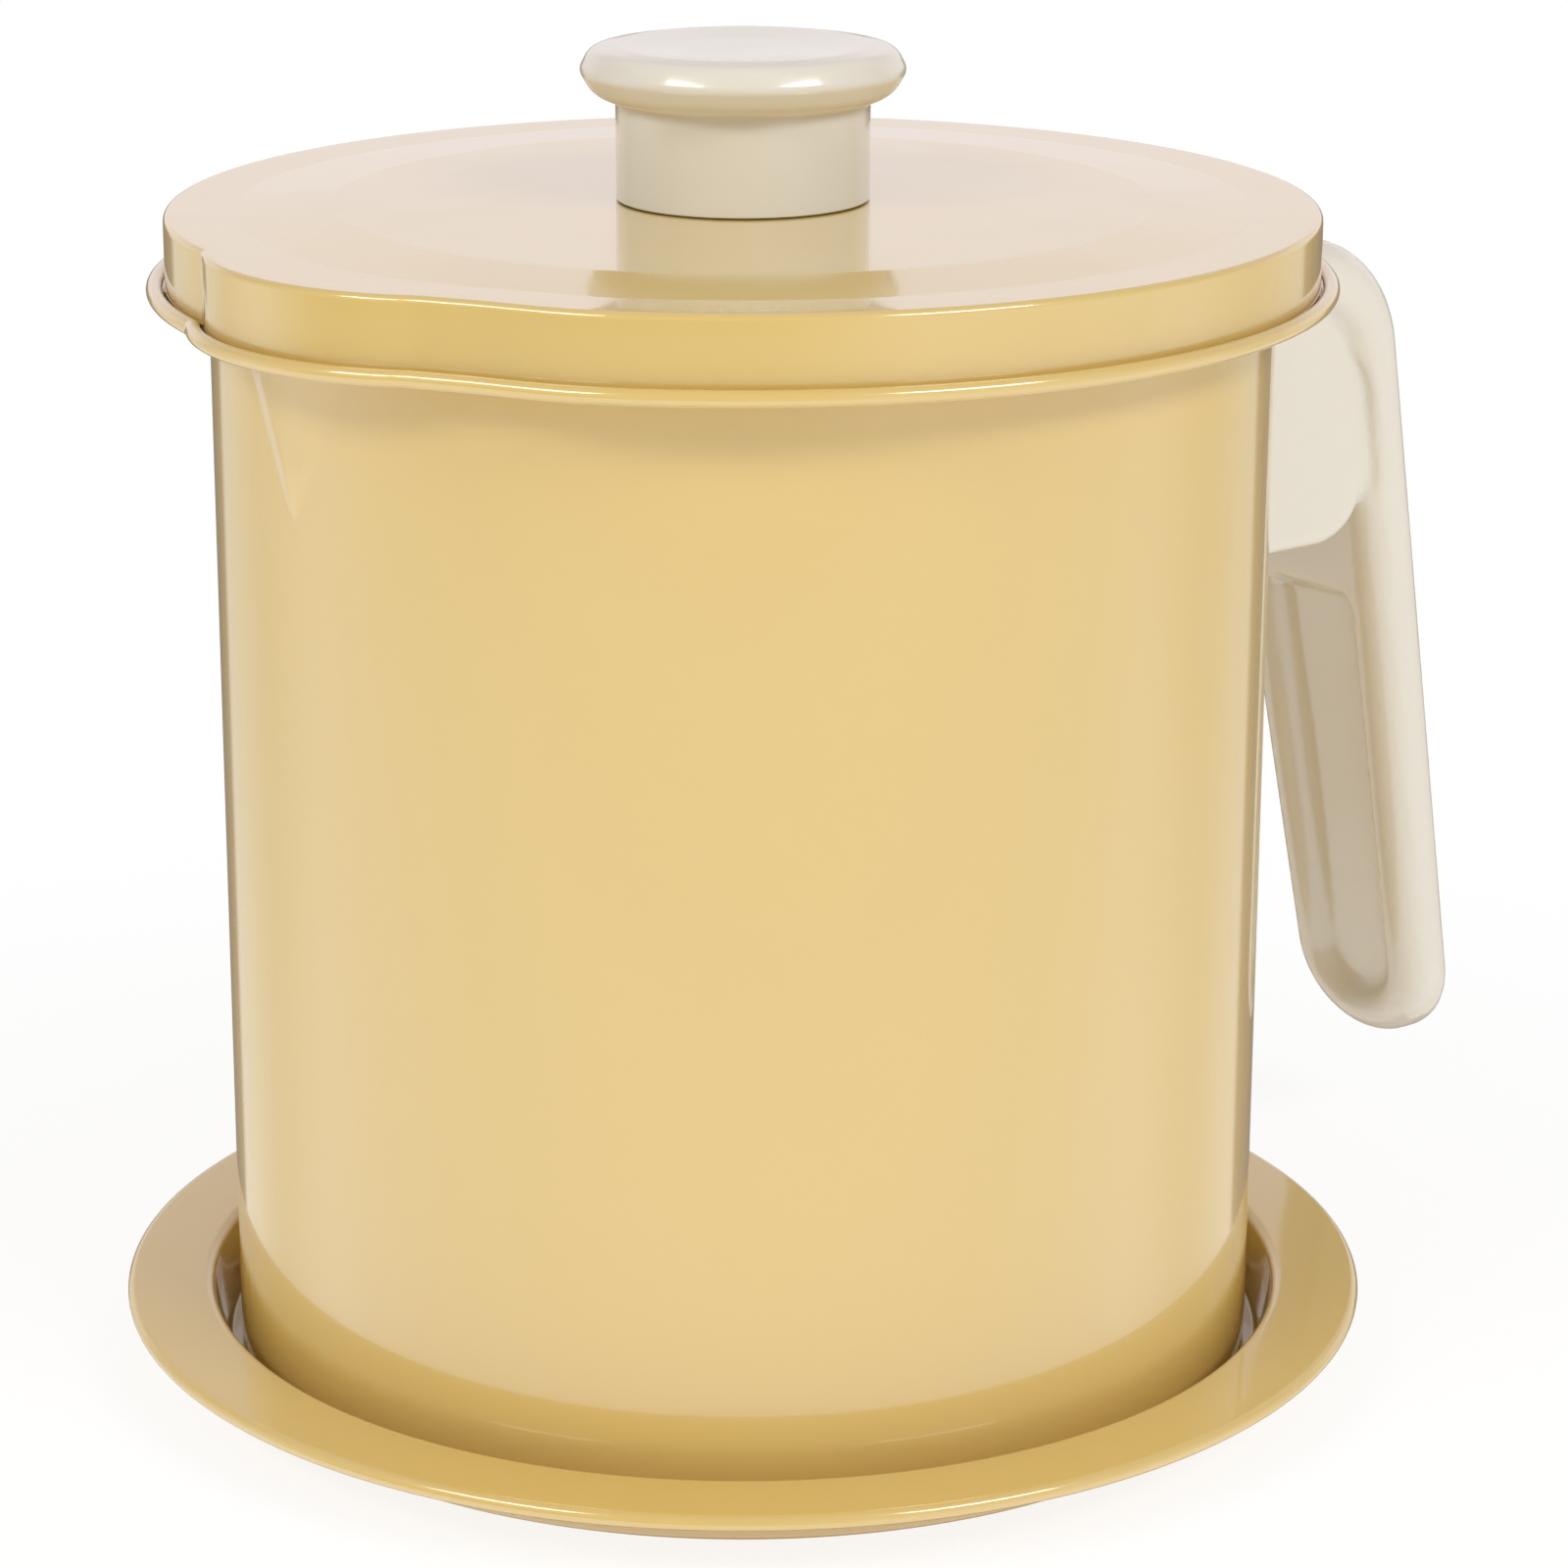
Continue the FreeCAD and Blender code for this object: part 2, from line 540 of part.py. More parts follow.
def make_strainer():
    """Tapered cup on a flange, with a mesh clamped on its floor by a ring."""
    lid_inside = f"({LID_RADIUS} - dim.sheet)"
    flange_radius = f"{lid_inside} - dim.strainer_flange_play"
    steel = "dim.strainer_sheet"
    cup = turned_body("strainer_cup", [
        (OPENING_RADIUS, STRAINER_UNDER),
        (STRAINER_END_RADIUS, STRAINER_UNDER, f"2 * {steel}"),
        (STRAINER_TOP_RADIUS, SEAT),
        (flange_radius, SEAT),
        (flange_radius, f"{SEAT} + {steel}"),
        (f"{STRAINER_TOP_RADIUS} - {steel}", f"{SEAT} + {steel}", steel),
        (f"{STRAINER_END_RADIUS} - {steel}", STRAINER_FLOOR, steel),
        (OPENING_RADIUS, STRAINER_FLOOR),
    ])
    keep(cup, "strainer_cup")
    mesh = turned_body("strainer_mesh", [
        ("0", STRAINER_FLOOR), (MESH_RADIUS, STRAINER_FLOOR), (MESH_RADIUS, MESH_TOP), ("0", MESH_TOP),
    ])
    keep(mesh, "strainer_mesh")
    clamp = ring("strainer_ring", OPENING_RADIUS, MESH_RADIUS, MESH_TOP, f"{MESH_TOP} + dim.ring_thickness")
    keep(clamp, "strainer_ring")


def make_bracket():
    """U-shaped steel bracket whose two webs end on the pot's wall."""
    low = f"{SCREW_HEIGHT} - dim.bracket_height / 2"
    block_length = f"(dim.bracket_depth + {PAST})"
    hollow_length = f"(dim.bracket_depth + 2 * {PAST})"
    outer = document.addObject("Part::Box", "bracket_block")
    outer.setExpression("Length", block_length)
    outer.setExpression("Width", "dim.bracket_width")
    outer.setExpression("Height", "dim.bracket_height")
    place(outer, f"{BRACKET_FACE} - {block_length}", low)
    outer.setExpression("Placement.Base.y", "-dim.bracket_width / 2")
    inner = document.addObject("Part::Box", "bracket_hollow")
    inner.setExpression("Length", hollow_length)
    inner.setExpression("Width", "dim.bracket_width - 2 * dim.bracket_plate")
    inner.setExpression("Height", f"dim.bracket_height + {PAST}")
    place(inner, f"{BRACKET_FACE} - dim.bracket_plate - {hollow_length}", f"{low} - {PAST / 2}")
    inner.setExpression("Placement.Base.y", "-dim.bracket_width / 2 + dim.bracket_plate")
    wall = document.addObject("Part::Cylinder", "bracket_wall")
    wall.setExpression("Radius", "dim.pot_radius")
    wall.setExpression("Height", LEDGE)
    hole = document.addObject("Part::Cylinder", "bracket_hole")
    hole.setExpression("Radius", "dim.screw_radius + dim.hole_play")
    hole.setExpression("Height", "dim.bracket_depth")
    place(hole, "dim.pot_radius + dim.bracket_depth / 2", SCREW_HEIGHT, OUTWARD)
    tools = document.addObject("Part::MultiFuse", "bracket_tools")
    tools.Shapes = [inner, wall, hole]
    bracket = document.addObject("Part::Cut", "bracket_cut")
    bracket.Base = outer
    bracket.Tool = tools
    keep(bracket, "handle_bracket")


def make_bracket_nut():
    """Hexagon nut welded behind the bracket's plate."""
    block = document.addObject("Part::Prism", "nut_block")
    block.Polygon = 6
    block.setExpression("Circumradius", "dim.nut_corner")
    block.setExpression("Height", "dim.nut_thickness")
    bore = document.addObject("Part::Cylinder", "nut_bore")
    bore.setExpression("Radius", "dim.screw_radius + dim.thread_play")
    bore.setExpression("Height", "dim.nut_thickness")
    nut = document.addObject("Part::Cut", "nut_cut")
    nut.Base = block
    nut.Tool = bore
    place(nut, f"{BRACKET_FACE} - dim.bracket_plate - dim.nut_thickness", SCREW_HEIGHT, OUTWARD)
    keep(nut, "bracket_nut")


def make_handle_fastening():
    """Washer and screw in the handle's counterbore, pointing at the pot."""
    washer = ring("handle_washer", "dim.screw_radius + dim.hole_play", "dim.washer_radius",
                  "0", "dim.washer_thickness")
    place(washer, CLAMP_FACE, SCREW_HEIGHT, OUTWARD)
    keep(washer, "handle_washer")
    screw = pan_head_screw("handle_screw", "dim.screw_radius", "dim.screw_length",
                           "dim.screw_head", "dim.screw_rise")
    place(screw, SCREW_SEAT, SCREW_HEIGHT, INWARD)
    keep(screw, "handle_screw")


def grip_face(height, depth):
    """X of the grip at a height, a depth inside its outer face."""
    return f"{HANDLE_CORNER} + ({HANDLE_TOP} - {height}) * tan(dim.grip_lean) - {depth}"


def make_handle():
    """Moulded handle: an arm from the wall bent into a leaning grip, over a hollow block."""
    body = new_body("handle")
    below = f"({HANDLE_END} - dim.grip_thickness)"
    arm_under = f"({HANDLE_TOP} - dim.grip_thickness)"
    side = sketch_on(body, "handle_side", "XZ_Plane")
    draw_outline(side, [
        (HANDLE_START, HANDLE_TOP),
        (HANDLE_START, arm_under),
        (grip_face(arm_under, GRIP_ACROSS), arm_under, "dim.bend_radius - dim.grip_thickness"),
        (grip_face(below, GRIP_ACROSS), below),
        (grip_face(below, "0"), below),
        (grip_face(HANDLE_TOP, "0"), HANDLE_TOP, "dim.bend_radius"),
    ])
    pad(body, side, "handle_slab", f"2 * (dim.arm_half_width + {PAST})")
    cut_grip_outline(body)
    start = amount(HANDLE_START)
    round_edges(body, "handle_edges", "dim.grip_round",
                lambda shape, edge: is_sharp(shape, edge) and edge.BoundBox.XMax - start > NEAR)
    add_block(body)
    cut_dent(body)
    cut_fastening(body)
    keep(body, "handle")


def cut_grip_outline(body):
    """Trims the slab, seen from the front, to a taper with a round lower end."""
    trim = sketch_on(body, "handle_front", "YZ_Plane")
    wide = f"(dim.arm_half_width + 2 * {PAST})"
    low = f"{HANDLE_END} - 2 * dim.grip_thickness"
    high = f"{HANDLE_TOP} + {PAST}"
    slope = "((dim.arm_half_width - dim.end_half_width) / dim.handle_length)"
    top_half = f"(dim.arm_half_width + {slope} * {PAST})"
    draw_outline(trim, [
        (f"-{top_half}", high),
        ("-dim.end_half_width", HANDLE_END, "dim.end_round"),
        ("dim.end_half_width", HANDLE_END, "dim.end_round"),
        (top_half, high),
        (wide, high),
        (wide, low),
        (f"-{wide}", low),
        (f"-{wide}", high),
    ])
    pocket(body, trim, "handle_taper", None)


def add_block(body):
    """Block between wall and grip that houses the bracket."""
    block = sketch_on(body, "handle_block", "XZ_Plane")
    under = f"({HANDLE_TOP} - dim.block_drop)"
    middle = f"({GRIP_ACROSS} / 2)"
    outer = grip_face(under, middle)
    bend_x = grip_face(f"({HANDLE_TOP} - dim.grip_thickness)", GRIP_ACROSS)
    draw_outline(block, [
        (HANDLE_START, under),
        (outer, under, "dim.block_round"),
        (grip_face(f"({HANDLE_TOP} - dim.bend_radius)", middle), f"{HANDLE_TOP} - dim.bend_radius"),
        (bend_x, f"{HANDLE_TOP} - dim.grip_thickness / 2"),
        (HANDLE_START, f"{HANDLE_TOP} - dim.grip_thickness / 2"),
    ])
    pad(body, block, "handle_block_pad", "2 * dim.block_half_width")


def cut_dent(body):
    """Finger dent in the grip's inner face, with sloping sides."""
    dent = sketch_on(body, "handle_dent", "YZ_Plane")
    about_x = FreeCAD.Rotation(FreeCAD.Vector(1, 0, 0), -1)
    dent.AttachmentOffset = FreeCAD.Placement(FreeCAD.Vector(), about_x)
    dent.setExpression("AttachmentOffset.Rotation.Angle", "-dim.grip_lean")
    dent.setExpression("AttachmentOffset.Base.z", f"{HANDLE_CORNER} - {GRIP_ACROSS}")
    dent.setExpression("AttachmentOffset.Base.y", HANDLE_TOP)
    low = "-(dim.dent_top + dim.dent_length)"
    draw_outline(dent, [
        ("-dim.dent_half_top", "-dim.dent_top", "dim.dent_round"),
        ("-dim.dent_half_end", low, "dim.dent_half_end - dim.dent_end_flat"),
        ("dim.dent_half_end", low, "dim.dent_half_end - dim.dent_end_flat"),
        ("dim.dent_half_top", "-dim.dent_top", "dim.dent_round"),
    ])
    cut = pocket(body, dent, "handle_dent_cut", "dim.dent_depth", backwards=True)
    cut.setExpression("TaperAngle", "-dim.dent_draft")


def cut_fastening(body):
    """Hollow for the bracket, screw hole, counterbore, and the end that follows the wall."""
    hollow = sketch_on(body, "handle_hollow", "YZ_Plane")
    half = "(dim.bracket_width / 2 + dim.bracket_play)"
    tall = "(dim.bracket_height / 2 + dim.bracket_play)"
    draw_outline(hollow, [
        (f"-{half}", f"{SCREW_HEIGHT} - {tall}"),
        (half, f"{SCREW_HEIGHT} - {tall}"),
        (half, f"{SCREW_HEIGHT} + {tall}"),
        (f"-{half}", f"{SCREW_HEIGHT} + {tall}"),
    ])
    pocket(body, hollow, "handle_hollow_cut", BRACKET_FACE, backwards=True)
    screw_hole = "dim.screw_radius + dim.hole_play"
    washer_hole = "dim.washer_radius + dim.counterbore_play"
    wall = "dim.pot_radius + dim.handle_gap"
    bores = [
        ("handle_bore", screw_hole, "dim.pot_radius", OUTWARD, SCREW_HEIGHT),
        ("handle_counterbore", washer_hole, CLAMP_FACE, OUTWARD, SCREW_HEIGHT),
        ("handle_wall_cut", wall, "0", FreeCAD.Rotation(), "0"),
    ]
    for name, radius, across, rotation, height in bores:
        bore = body.newObject("PartDesign::SubtractiveCylinder", name)
        bore.setExpression("Radius", radius)
        bore.setExpression("Height", f"{HANDLE_TOP} + {PAST}")
        place(bore, across, height, rotation)


def check_and_export():
    document.recompute()
    failed = [item.Name for item in document.Objects if {"Invalid", "Error"} & set(item.State)]
    if failed:
        raise RuntimeError(f"failed objects: {failed}")
    os.makedirs("parts", exist_ok=True)
    for node in nodes:
        shape = node.Shape
        if shape.isNull() or not shape.isValid() or not shape.Solids:
            raise RuntimeError(f"{node.Label}: no valid solid")
    for node in nodes:
        node.Shape.exportStep(os.path.join("parts", node.Label + ".step"))


fill_sheet()
make_tray()
make_pot_body()
make_bracket()
make_bracket_nut()
make_handle()
make_handle_fastening()
make_lid()
make_knob()
make_knob_fastening()
make_strainer()
check_and_export()
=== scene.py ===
import math

import bmesh
import bpy
import numpy as np
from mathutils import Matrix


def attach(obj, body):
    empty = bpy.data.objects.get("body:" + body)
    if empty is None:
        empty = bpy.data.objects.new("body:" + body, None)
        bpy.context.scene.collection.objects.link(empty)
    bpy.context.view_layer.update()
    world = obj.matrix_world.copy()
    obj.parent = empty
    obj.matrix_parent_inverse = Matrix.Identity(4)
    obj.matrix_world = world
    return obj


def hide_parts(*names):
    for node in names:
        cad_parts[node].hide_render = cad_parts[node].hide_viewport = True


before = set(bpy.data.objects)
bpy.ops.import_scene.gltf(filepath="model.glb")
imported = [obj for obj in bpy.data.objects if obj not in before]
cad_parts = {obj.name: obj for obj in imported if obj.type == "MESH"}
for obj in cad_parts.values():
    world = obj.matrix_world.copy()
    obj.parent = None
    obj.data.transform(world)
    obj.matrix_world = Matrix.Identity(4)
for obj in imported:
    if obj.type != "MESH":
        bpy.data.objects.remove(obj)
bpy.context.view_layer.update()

# Bacon grease container. Shapes are worked out in millimetres in the row frame: the pot's axis is Z,
# the table is Z = 0, the handle points along +X and the pouring lip along -X.
MM = 0.001

# Pot
SHEET = 0.8                # thickness of every painted sheet
POT_RADIUS = 65.0
POT_FLOOR = 0.9            # underside of the floor
FOOT_ROUND = 2.0
LEDGE = 136.6              # underside of the ledge at the pot's mouth
LEDGE_TOP = 137.4
LEDGE_ROUND = 0.7
LIP_BAND = LEDGE - 22      # the wall's mesh is fine above this height, for the lip
BEAD = 1.0                 # radius of the rolled edges of pot and tray
BEAD_CENTRE = 71.5
BEAD_MEETS_LEDGE = 0.6     # where ledge and roll meet, as a share of the roll's radius
ROLL_POINTS = 20           # points along a rolled edge
RIM_RADIUS = BEAD_CENTRE + BEAD

# Lid and knob
LID_RADIUS = 70.2
LID_SEAT = 137.5           # lower edge of the skirt
LID_EDGE = 146.4           # top of the border
LID_TOP = 147.0            # top of the raised middle
LID_BORDER = 62.0          # the border is flat beyond this radius
LID_MIDDLE = 50.0          # and the middle is flat inside this one
LID_EASE = 12.0            # radius of the soft bends between them
LID_NOSE = LID_BORDER - 4, LID_RADIUS - 1.5     # it takes on the rim's nose between these
LID_HOLE = 2.3
KNOB_BASE = 147.4
KNOB_NECK = 15.45
KNOB_SOCKET = 3.45         # radius of the bore for the insert
KNOB_SOCKET_TOP = 9.6
KNOB_SKIRT = 0.25          # the neck's outer edge reaches down round the gasket by this
KNOB_SKIRT_WALL = 0.45

# Tray
TRAY_BEAD_CENTRE = 78.36
TRAY_BEAD_HEIGHT = 7.9
TRAY_BRIM_UNDER = 8.1
TRAY_BRIM_TOP = 8.9
TRAY_FOOT = 67.1           # radius of the wall's outside at the foot
TRAY_NECK = 69.1           # and under the brim
TRAY_WELL = 66.5           # radius of the wall's inside at the floor
TRAY_MOUTH = 68.5          # and at the brim

# Mesh sizes: longest step along a profile, and columns round the axis in degrees
PLAIN_STEP, FINE_STEP, LONG_STEP = 2.0, 0.6, 3.0
KNOB_STEP, LID_STEP = 0.8, 1.6
WIDE_TURN, FINE_TURN = 1.5, 0.5
FINE_TURNS = 150, 222      # the lip and the rim's nose lie between these
FINEST_TURNS = 166.25, 190.3


# ---------------------------------------------------------------- mesh tools

def smooth_max(first, second, reach):
    """The larger of two fields, blended where they come within reach of each other."""
    share = np.clip(0.5 + (first - second) / (2 * reach), 0, 1)
    return second + (first - second) * share + reach * share * (1 - share)


def smooth_min(first, second, reach):
    return -smooth_max(-first, -second, reach)


def ramp(value, low, high):
    """0 below low, 1 above high, and a smooth rise between them."""
    share = np.clip((value - low) / (high - low), 0, 1)
    return share * share * (3 - 2 * share)


def arc(centre, radius, start, end, count):
    """Points on a circle between two angles in degrees."""
    turn = np.radians(np.linspace(start, end, count))
    return [(centre[0] + radius * math.cos(a), centre[1] + radius * math.sin(a)) for a in turn]


def profile(corners, step=PLAIN_STEP, fine=8):
    """A line through (radius, height) corners. A third number rounds a corner with that radius, in
    as many points as fine says. No stretch of the line is longer than step."""
    line = []
    for index, corner in enumerate(corners):
        spot = np.array(corner[:2], float)
        if len(corner) == 2:
            line.append(spot)
            continue
        back = np.array(corners[index - 1][:2], float) - spot
        onward = np.array(corners[index + 1][:2], float) - spot
        back /= np.linalg.norm(back)
        onward /= np.linalg.norm(onward)
        half = math.acos(np.clip(back @ onward, -1, 1)) / 2
        centre = spot + (back + onward) / np.linalg.norm(back + onward) * corner[2] / math.sin(half)
        first = spot + back * corner[2] / math.tan(half) - centre
        last = spot + onward * corner[2] / math.tan(half) - centre
        turn = math.atan2(first[0] * last[1] - first[1] * last[0], first @ last)
        start = math.atan2(first[1], first[0])
        for share in np.linspace(0, 1, fine):
            angle = start + turn * share
            line.append(centre + corner[2] * np.array([math.cos(angle), math.sin(angle)]))
    points = [line[0]]
    for spot in line[1:]:
        run = np.linalg.norm(spot - points[-1])
        if run < 1e-6:
            continue
        pieces = max(1, math.ceil(run / step))
        start = points[-1]
        points += [start + (spot - start) * share for share in np.arange(1, pieces + 1) / pieces]
    return np.array(points)


def columns():
    """Angles round the axis in radians, closer together at the lip and the nose of the rim."""
    first, last = FINE_TURNS
    wide = np.arange(0, 360, WIDE_TURN)
    wide = wide[(wide < first) | (wide > last)]
    fine = np.arange(first, last + 0.01, FINE_TURN)
    finest = np.arange(*FINEST_TURNS, FINE_TURN)       # half a step aside, so these halve the step
    return np.radians(np.unique(np.round(np.concatenate([wide, fine, finest]), 3)))


def even_columns(count=240):
    return np.radians(np.arange(count) * 360 / count)


def grid_faces(rows, count, closed_profile):
    """Quads over a grid of points whose rows run round the axis."""
    faces = []
    last = rows if closed_profile else rows - 1
    for row in range(last):
        above = (row + 1) % rows
        for column in range(count):
            side = (column + 1) % count
            faces.append((row * count + column, row * count + side,
                          above * count + side, above * count + column))
    return faces


def build(name, points, faces, body, slot, node, merge=1e-4):
    """Makes a piece from points in millimetres, with smooth shading, in place of a CAD node.
    Points closer together than merge become one."""
    mesh = bpy.data.meshes.new(name)
    mesh.from_pydata((np.asarray(points).reshape(-1, 3) * MM).tolist(), [], faces)
    piece = bpy.data.objects.new(name, mesh)
    bpy.context.scene.collection.objects.link(piece)
    work = bmesh.new()
    work.from_mesh(mesh)
    bmesh.ops.remove_doubles(work, verts=work.verts, dist=merge * MM)
    bmesh.ops.dissolve_degenerate(work, edges=work.edges, dist=merge * MM)
    bmesh.ops.recalc_face_normals(work, faces=work.faces)
    work.to_mesh(mesh)
    work.free()
    mesh.polygons.foreach_set("use_smooth", [True] * len(mesh.polygons))
    weighted = piece.modifiers.new("even_normals", "WEIGHTED_NORMAL")
    weighted.keep_sharp = True
    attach(piece, body)
    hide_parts(node)
    mesh.materials.append(MATERIALS[slot])


def turned(name, line, body, slot, node, turns=None, closed=False, shape=None):
    """A piece turned about Z from a profile. shape moves the points of the turned grid."""
    turns = even_columns() if turns is None else turns
    radius, height = line[:, :1], line[:, 1:]
    if shape is None:
        x, y = radius * np.cos(turns), radius * np.sin(turns)
    else:
        x, y = shape(radius, height, turns)
    z = np.broadcast_to(height, x.shape)
    points = np.stack([x, y, z], -1)
    build(name, points, grid_faces(len(line), len(turns), closed), body, slot, node)


# ---------------------------------------------------------------- node trees and materials

def srgb(red, green, blue):
    """A colour given in 0-255 screen values, as the linear colour that a shader takes."""
    parts = [value / 255 for value in (red, green, blue)]
    linear = [part / 12.92 if part <= 0.04045 else ((part + 0.055) / 1.055) ** 2.4 for part in parts]
    return (*linear, 1.0)


class Nodes:
    """Short ways to add nodes to a tree. A value is a number, a colour or another node's output."""

    def __init__(self, tree):
        self.tree = tree

    def add(self, kind, **settings):
        node = self.tree.nodes.new(kind)
        for key, value in settings.items():
            setattr(node, key, value)
        return node

    def link(self, source, target):
        self.tree.links.new(source, target)

    def feed(self, socket, value):
        if isinstance(value, bpy.types.NodeSocket):
            self.link(value, socket)
        else:
            socket.default_value = value

    def maths(self, operation, first, second=0.0):
        node = self.add("ShaderNodeMath", operation=operation)
        self.feed(node.inputs[0], first)
        self.feed(node.inputs[1], second)
        return node.outputs[0]

    def span(self, source, lows, highs, interpolation="LINEAR"):
        """Maps the range lows to the range highs."""
        node = self.add("ShaderNodeMapRange", interpolation_type=interpolation)
        for socket, value in zip(("From Min", "From Max", "To Min", "To Max"), (*lows, *highs)):
            node.inputs[socket].default_value = value
        self.link(source, node.inputs["Value"])
        return node.outputs["Result"]

    def smooth(self, source, lows, highs):
        return self.span(source, lows, highs, "SMOOTHSTEP")

    def mix(self, factor, first, second):
        """The first colour where the factor is 0 and the second where it is 1."""
        node = self.add("ShaderNodeMix", data_type="RGBA")
        for index, value in ((0, factor), (6, first), (7, second)):
            self.feed(node.inputs[index], value)
        return node.outputs[2]

    def mix_shaders(self, factor, first, second):
        node = self.add("ShaderNodeMixShader")
        for socket, value in zip(node.inputs, (factor, first, second)):
            self.link(value, socket)
        return node.outputs[0]


class Material(Nodes):
    """A material with a Principled shader, and the textures that it is made of."""

    def __init__(self, name):
        self.material = bpy.data.materials.new(name)
        self.material.use_nodes = True
        super().__init__(self.material.node_tree)
        self.shader = self.tree.nodes["Principled BSDF"]
        self.where = self.add("ShaderNodeTexCoord").outputs["Object"]

    def put(self, **values):
        """Sets the shader's sockets. An underscore stands for a space in a socket's name."""
        for name, value in values.items():
            self.feed(self.shader.inputs[name.replace("_", " ")], value)

    def noise(self, scale, detail=2.0, where=None):
        node = self.add("ShaderNodeTexNoise")
        node.inputs["Scale"].default_value = scale
        node.inputs["Detail"].default_value = detail
        self.link(where or self.where, node.inputs["Vector"])
        return node.outputs["Fac"]

    def varied(self, noise, low, high):
        """A noise stretched to the range low to high, most of which it fills."""
        return self.span(noise, (0.3, 0.7), (low, high))

    def bumps(self, *layers):
        """Stacks bumps of (height field, depth in metres, strength)."""
        normal = None
        for height, depth, strength in layers:
            node = self.add("ShaderNodeBump")
            node.inputs["Distance"].default_value = depth
            node.inputs["Strength"].default_value = strength
            self.link(height, node.inputs["Height"])
            if normal is not None:
                self.link(normal, node.inputs["Normal"])
            normal = node.outputs["Normal"]
        self.link(normal, self.shader.inputs["Normal"])

    def dusty(self, tone, spacing, size, share, dust):
        """A tone with small specks of dust. The lengths are in metres, and share is how many of the
        places spaced like that have a speck."""
        cells = self.add("ShaderNodeTexVoronoi")
        cells.inputs["Scale"].default_value = 1 / spacing
        self.link(self.where, cells.inputs["Vector"])
        near = self.span(cells.outputs["Distance"], (size / spacing, 0.6 * size / spacing), (0, 1))
        apart = self.add("ShaderNodeSeparateColor")
        self.link(cells.outputs["Color"], apart.inputs["Color"])
        chosen = self.maths("LESS_THAN", apart.outputs["Red"], share)
        specks = self.maths("MULTIPLY", near, chosen)
        return self.mix(self.maths("MULTIPLY", specks, 0.5), tone, dust)


def paint_material():
    """Glossy baked paint over pressed steel: orange peel, slow tone changes, a few dust specks.
    Its roughness stays below 0.27, because the denoiser leaves blobs where it crosses that."""
    made = Material("yellow_paint")
    tone = made.mix(made.noise(14, 3), srgb(219, 187, 108), srgb(223, 192, 114))
    made.put(Base_Color=made.dusty(tone, 0.011, 0.00022, 0.3, srgb(150, 118, 70)),
             Roughness=made.varied(made.noise(60, 4), 0.17, 0.23), IOR=1.6,
             Coat_Weight=1.0, Coat_IOR=1.6, Coat_Roughness=0.05)
    made.bumps((made.noise(330, 2), 0.00010, 0.07), (made.noise(45, 2), 0.0008, 0.03))
    return made.material


def plastic_material():
    """Cream moulded plastic with a soft gloss."""
    made = Material("cream_plastic")
    tone = made.mix(made.noise(18, 3), srgb(228, 222, 208), srgb(232, 226, 213))
    made.put(Base_Color=made.dusty(tone, 0.012, 0.0002, 0.25, srgb(150, 132, 100)),
             Roughness=made.varied(made.noise(80, 4), 0.17, 0.24), IOR=1.5,
             Coat_Weight=0.5, Coat_Roughness=0.06,
             Subsurface_Weight=0.06, Subsurface_Scale=0.004)
    made.bumps((made.noise(420, 2), 0.00008, 0.10), (made.noise(60, 2), 0.0008, 0.04))
    return made.material


def metal_material(name, low, high, rough, grain):
    """Bare metal between two tones, with faint blotches and a fine grain stretched by grain."""
    made = Material(name)
    stretch = made.add("ShaderNodeMapping")
    stretch.inputs["Scale"].default_value = grain
    made.link(made.where, stretch.inputs["Vector"])
    lines = made.noise(900, 3, stretch.outputs["Vector"])
    made.put(Base_Color=made.mix(made.noise(70, 4), srgb(*low), srgb(*high)),
             Roughness=made.varied(lines, rough - 0.06, rough + 0.08), Metallic=1.0)
    made.bumps((lines, 0.00004, 0.25))
    return made.material


def rubber_material():
    """Dull dark rubber with a fine grain."""
    made = Material("dark_rubber")
    made.put(Base_Color=made.mix(made.noise(200, 3), srgb(40, 33, 26), srgb(58, 48, 36)),
             Roughness=made.varied(made.noise(300, 3), 0.55, 0.7))
    made.bumps((made.noise(900, 2), 0.0001, 0.3))
    return made.material


METALS = {
    "bracket_steel": ((176, 176, 174), (192, 192, 190), 0.42, (1, 1, 1)),
    "screw_steel": ((196, 197, 199), (212, 213, 214), 0.35, (1, 1, 6)),
    "strainer_steel": ((205, 206, 207), (220, 221, 222), 0.35, (0.1, 0.1, 3)),
    "insert_brass": ((201, 162, 92), (214, 178, 108), 0.36, (1, 1, 4)),
}
MATERIALS = {"yellow_paint": paint_material(), "cream_plastic": plastic_material(),
             "dark_rubber": rubber_material()}
MATERIALS.update({name: metal_material(name, *look) for name, look in METALS.items()})


# ---------------------------------------------------------------- pot, lid, tray, knob

NOSE_ANGLE = math.radians(185)
NOSE_REACH = 3.55          # how far the nose stands out, and the radius of its round front
NOSE_RADIUS = 34.65
NOSE_SPAN = 0.7            # angle in radians over which the nose's own circle counts
NOSE_CREASES = 0.45, 0.08  # softness of the bends into the round rim, on its two sides
FLAT_DEPTH = 0.95          # flat on one side of the nose: depth, angle from the nose and width
FLAT_ANGLE = 22.5
FLAT_WIDTH = 6.5


def nose(turns):
    """How far the rim stands beyond its round line: a nose, and a slight flat on one side of it."""
    turn = (turns - NOSE_ANGLE + math.pi) % (2 * math.pi) - math.pi
    shift = RIM_RADIUS + NOSE_REACH - NOSE_RADIUS
    near = np.clip(turn, -NOSE_SPAN, NOSE_SPAN)
    front = np.sqrt(NOSE_RADIUS ** 2 - (shift * np.sin(near)) ** 2)
    arc_reach = shift * np.cos(near) + front - RIM_RADIUS
    crease = np.where(turn > 0, *NOSE_CREASES)
    flat = FLAT_DEPTH * np.exp(-((np.degrees(turn) - FLAT_ANGLE) / FLAT_WIDTH) ** 2)
    return smooth_max(arc_reach, 0 * turn, crease) - flat


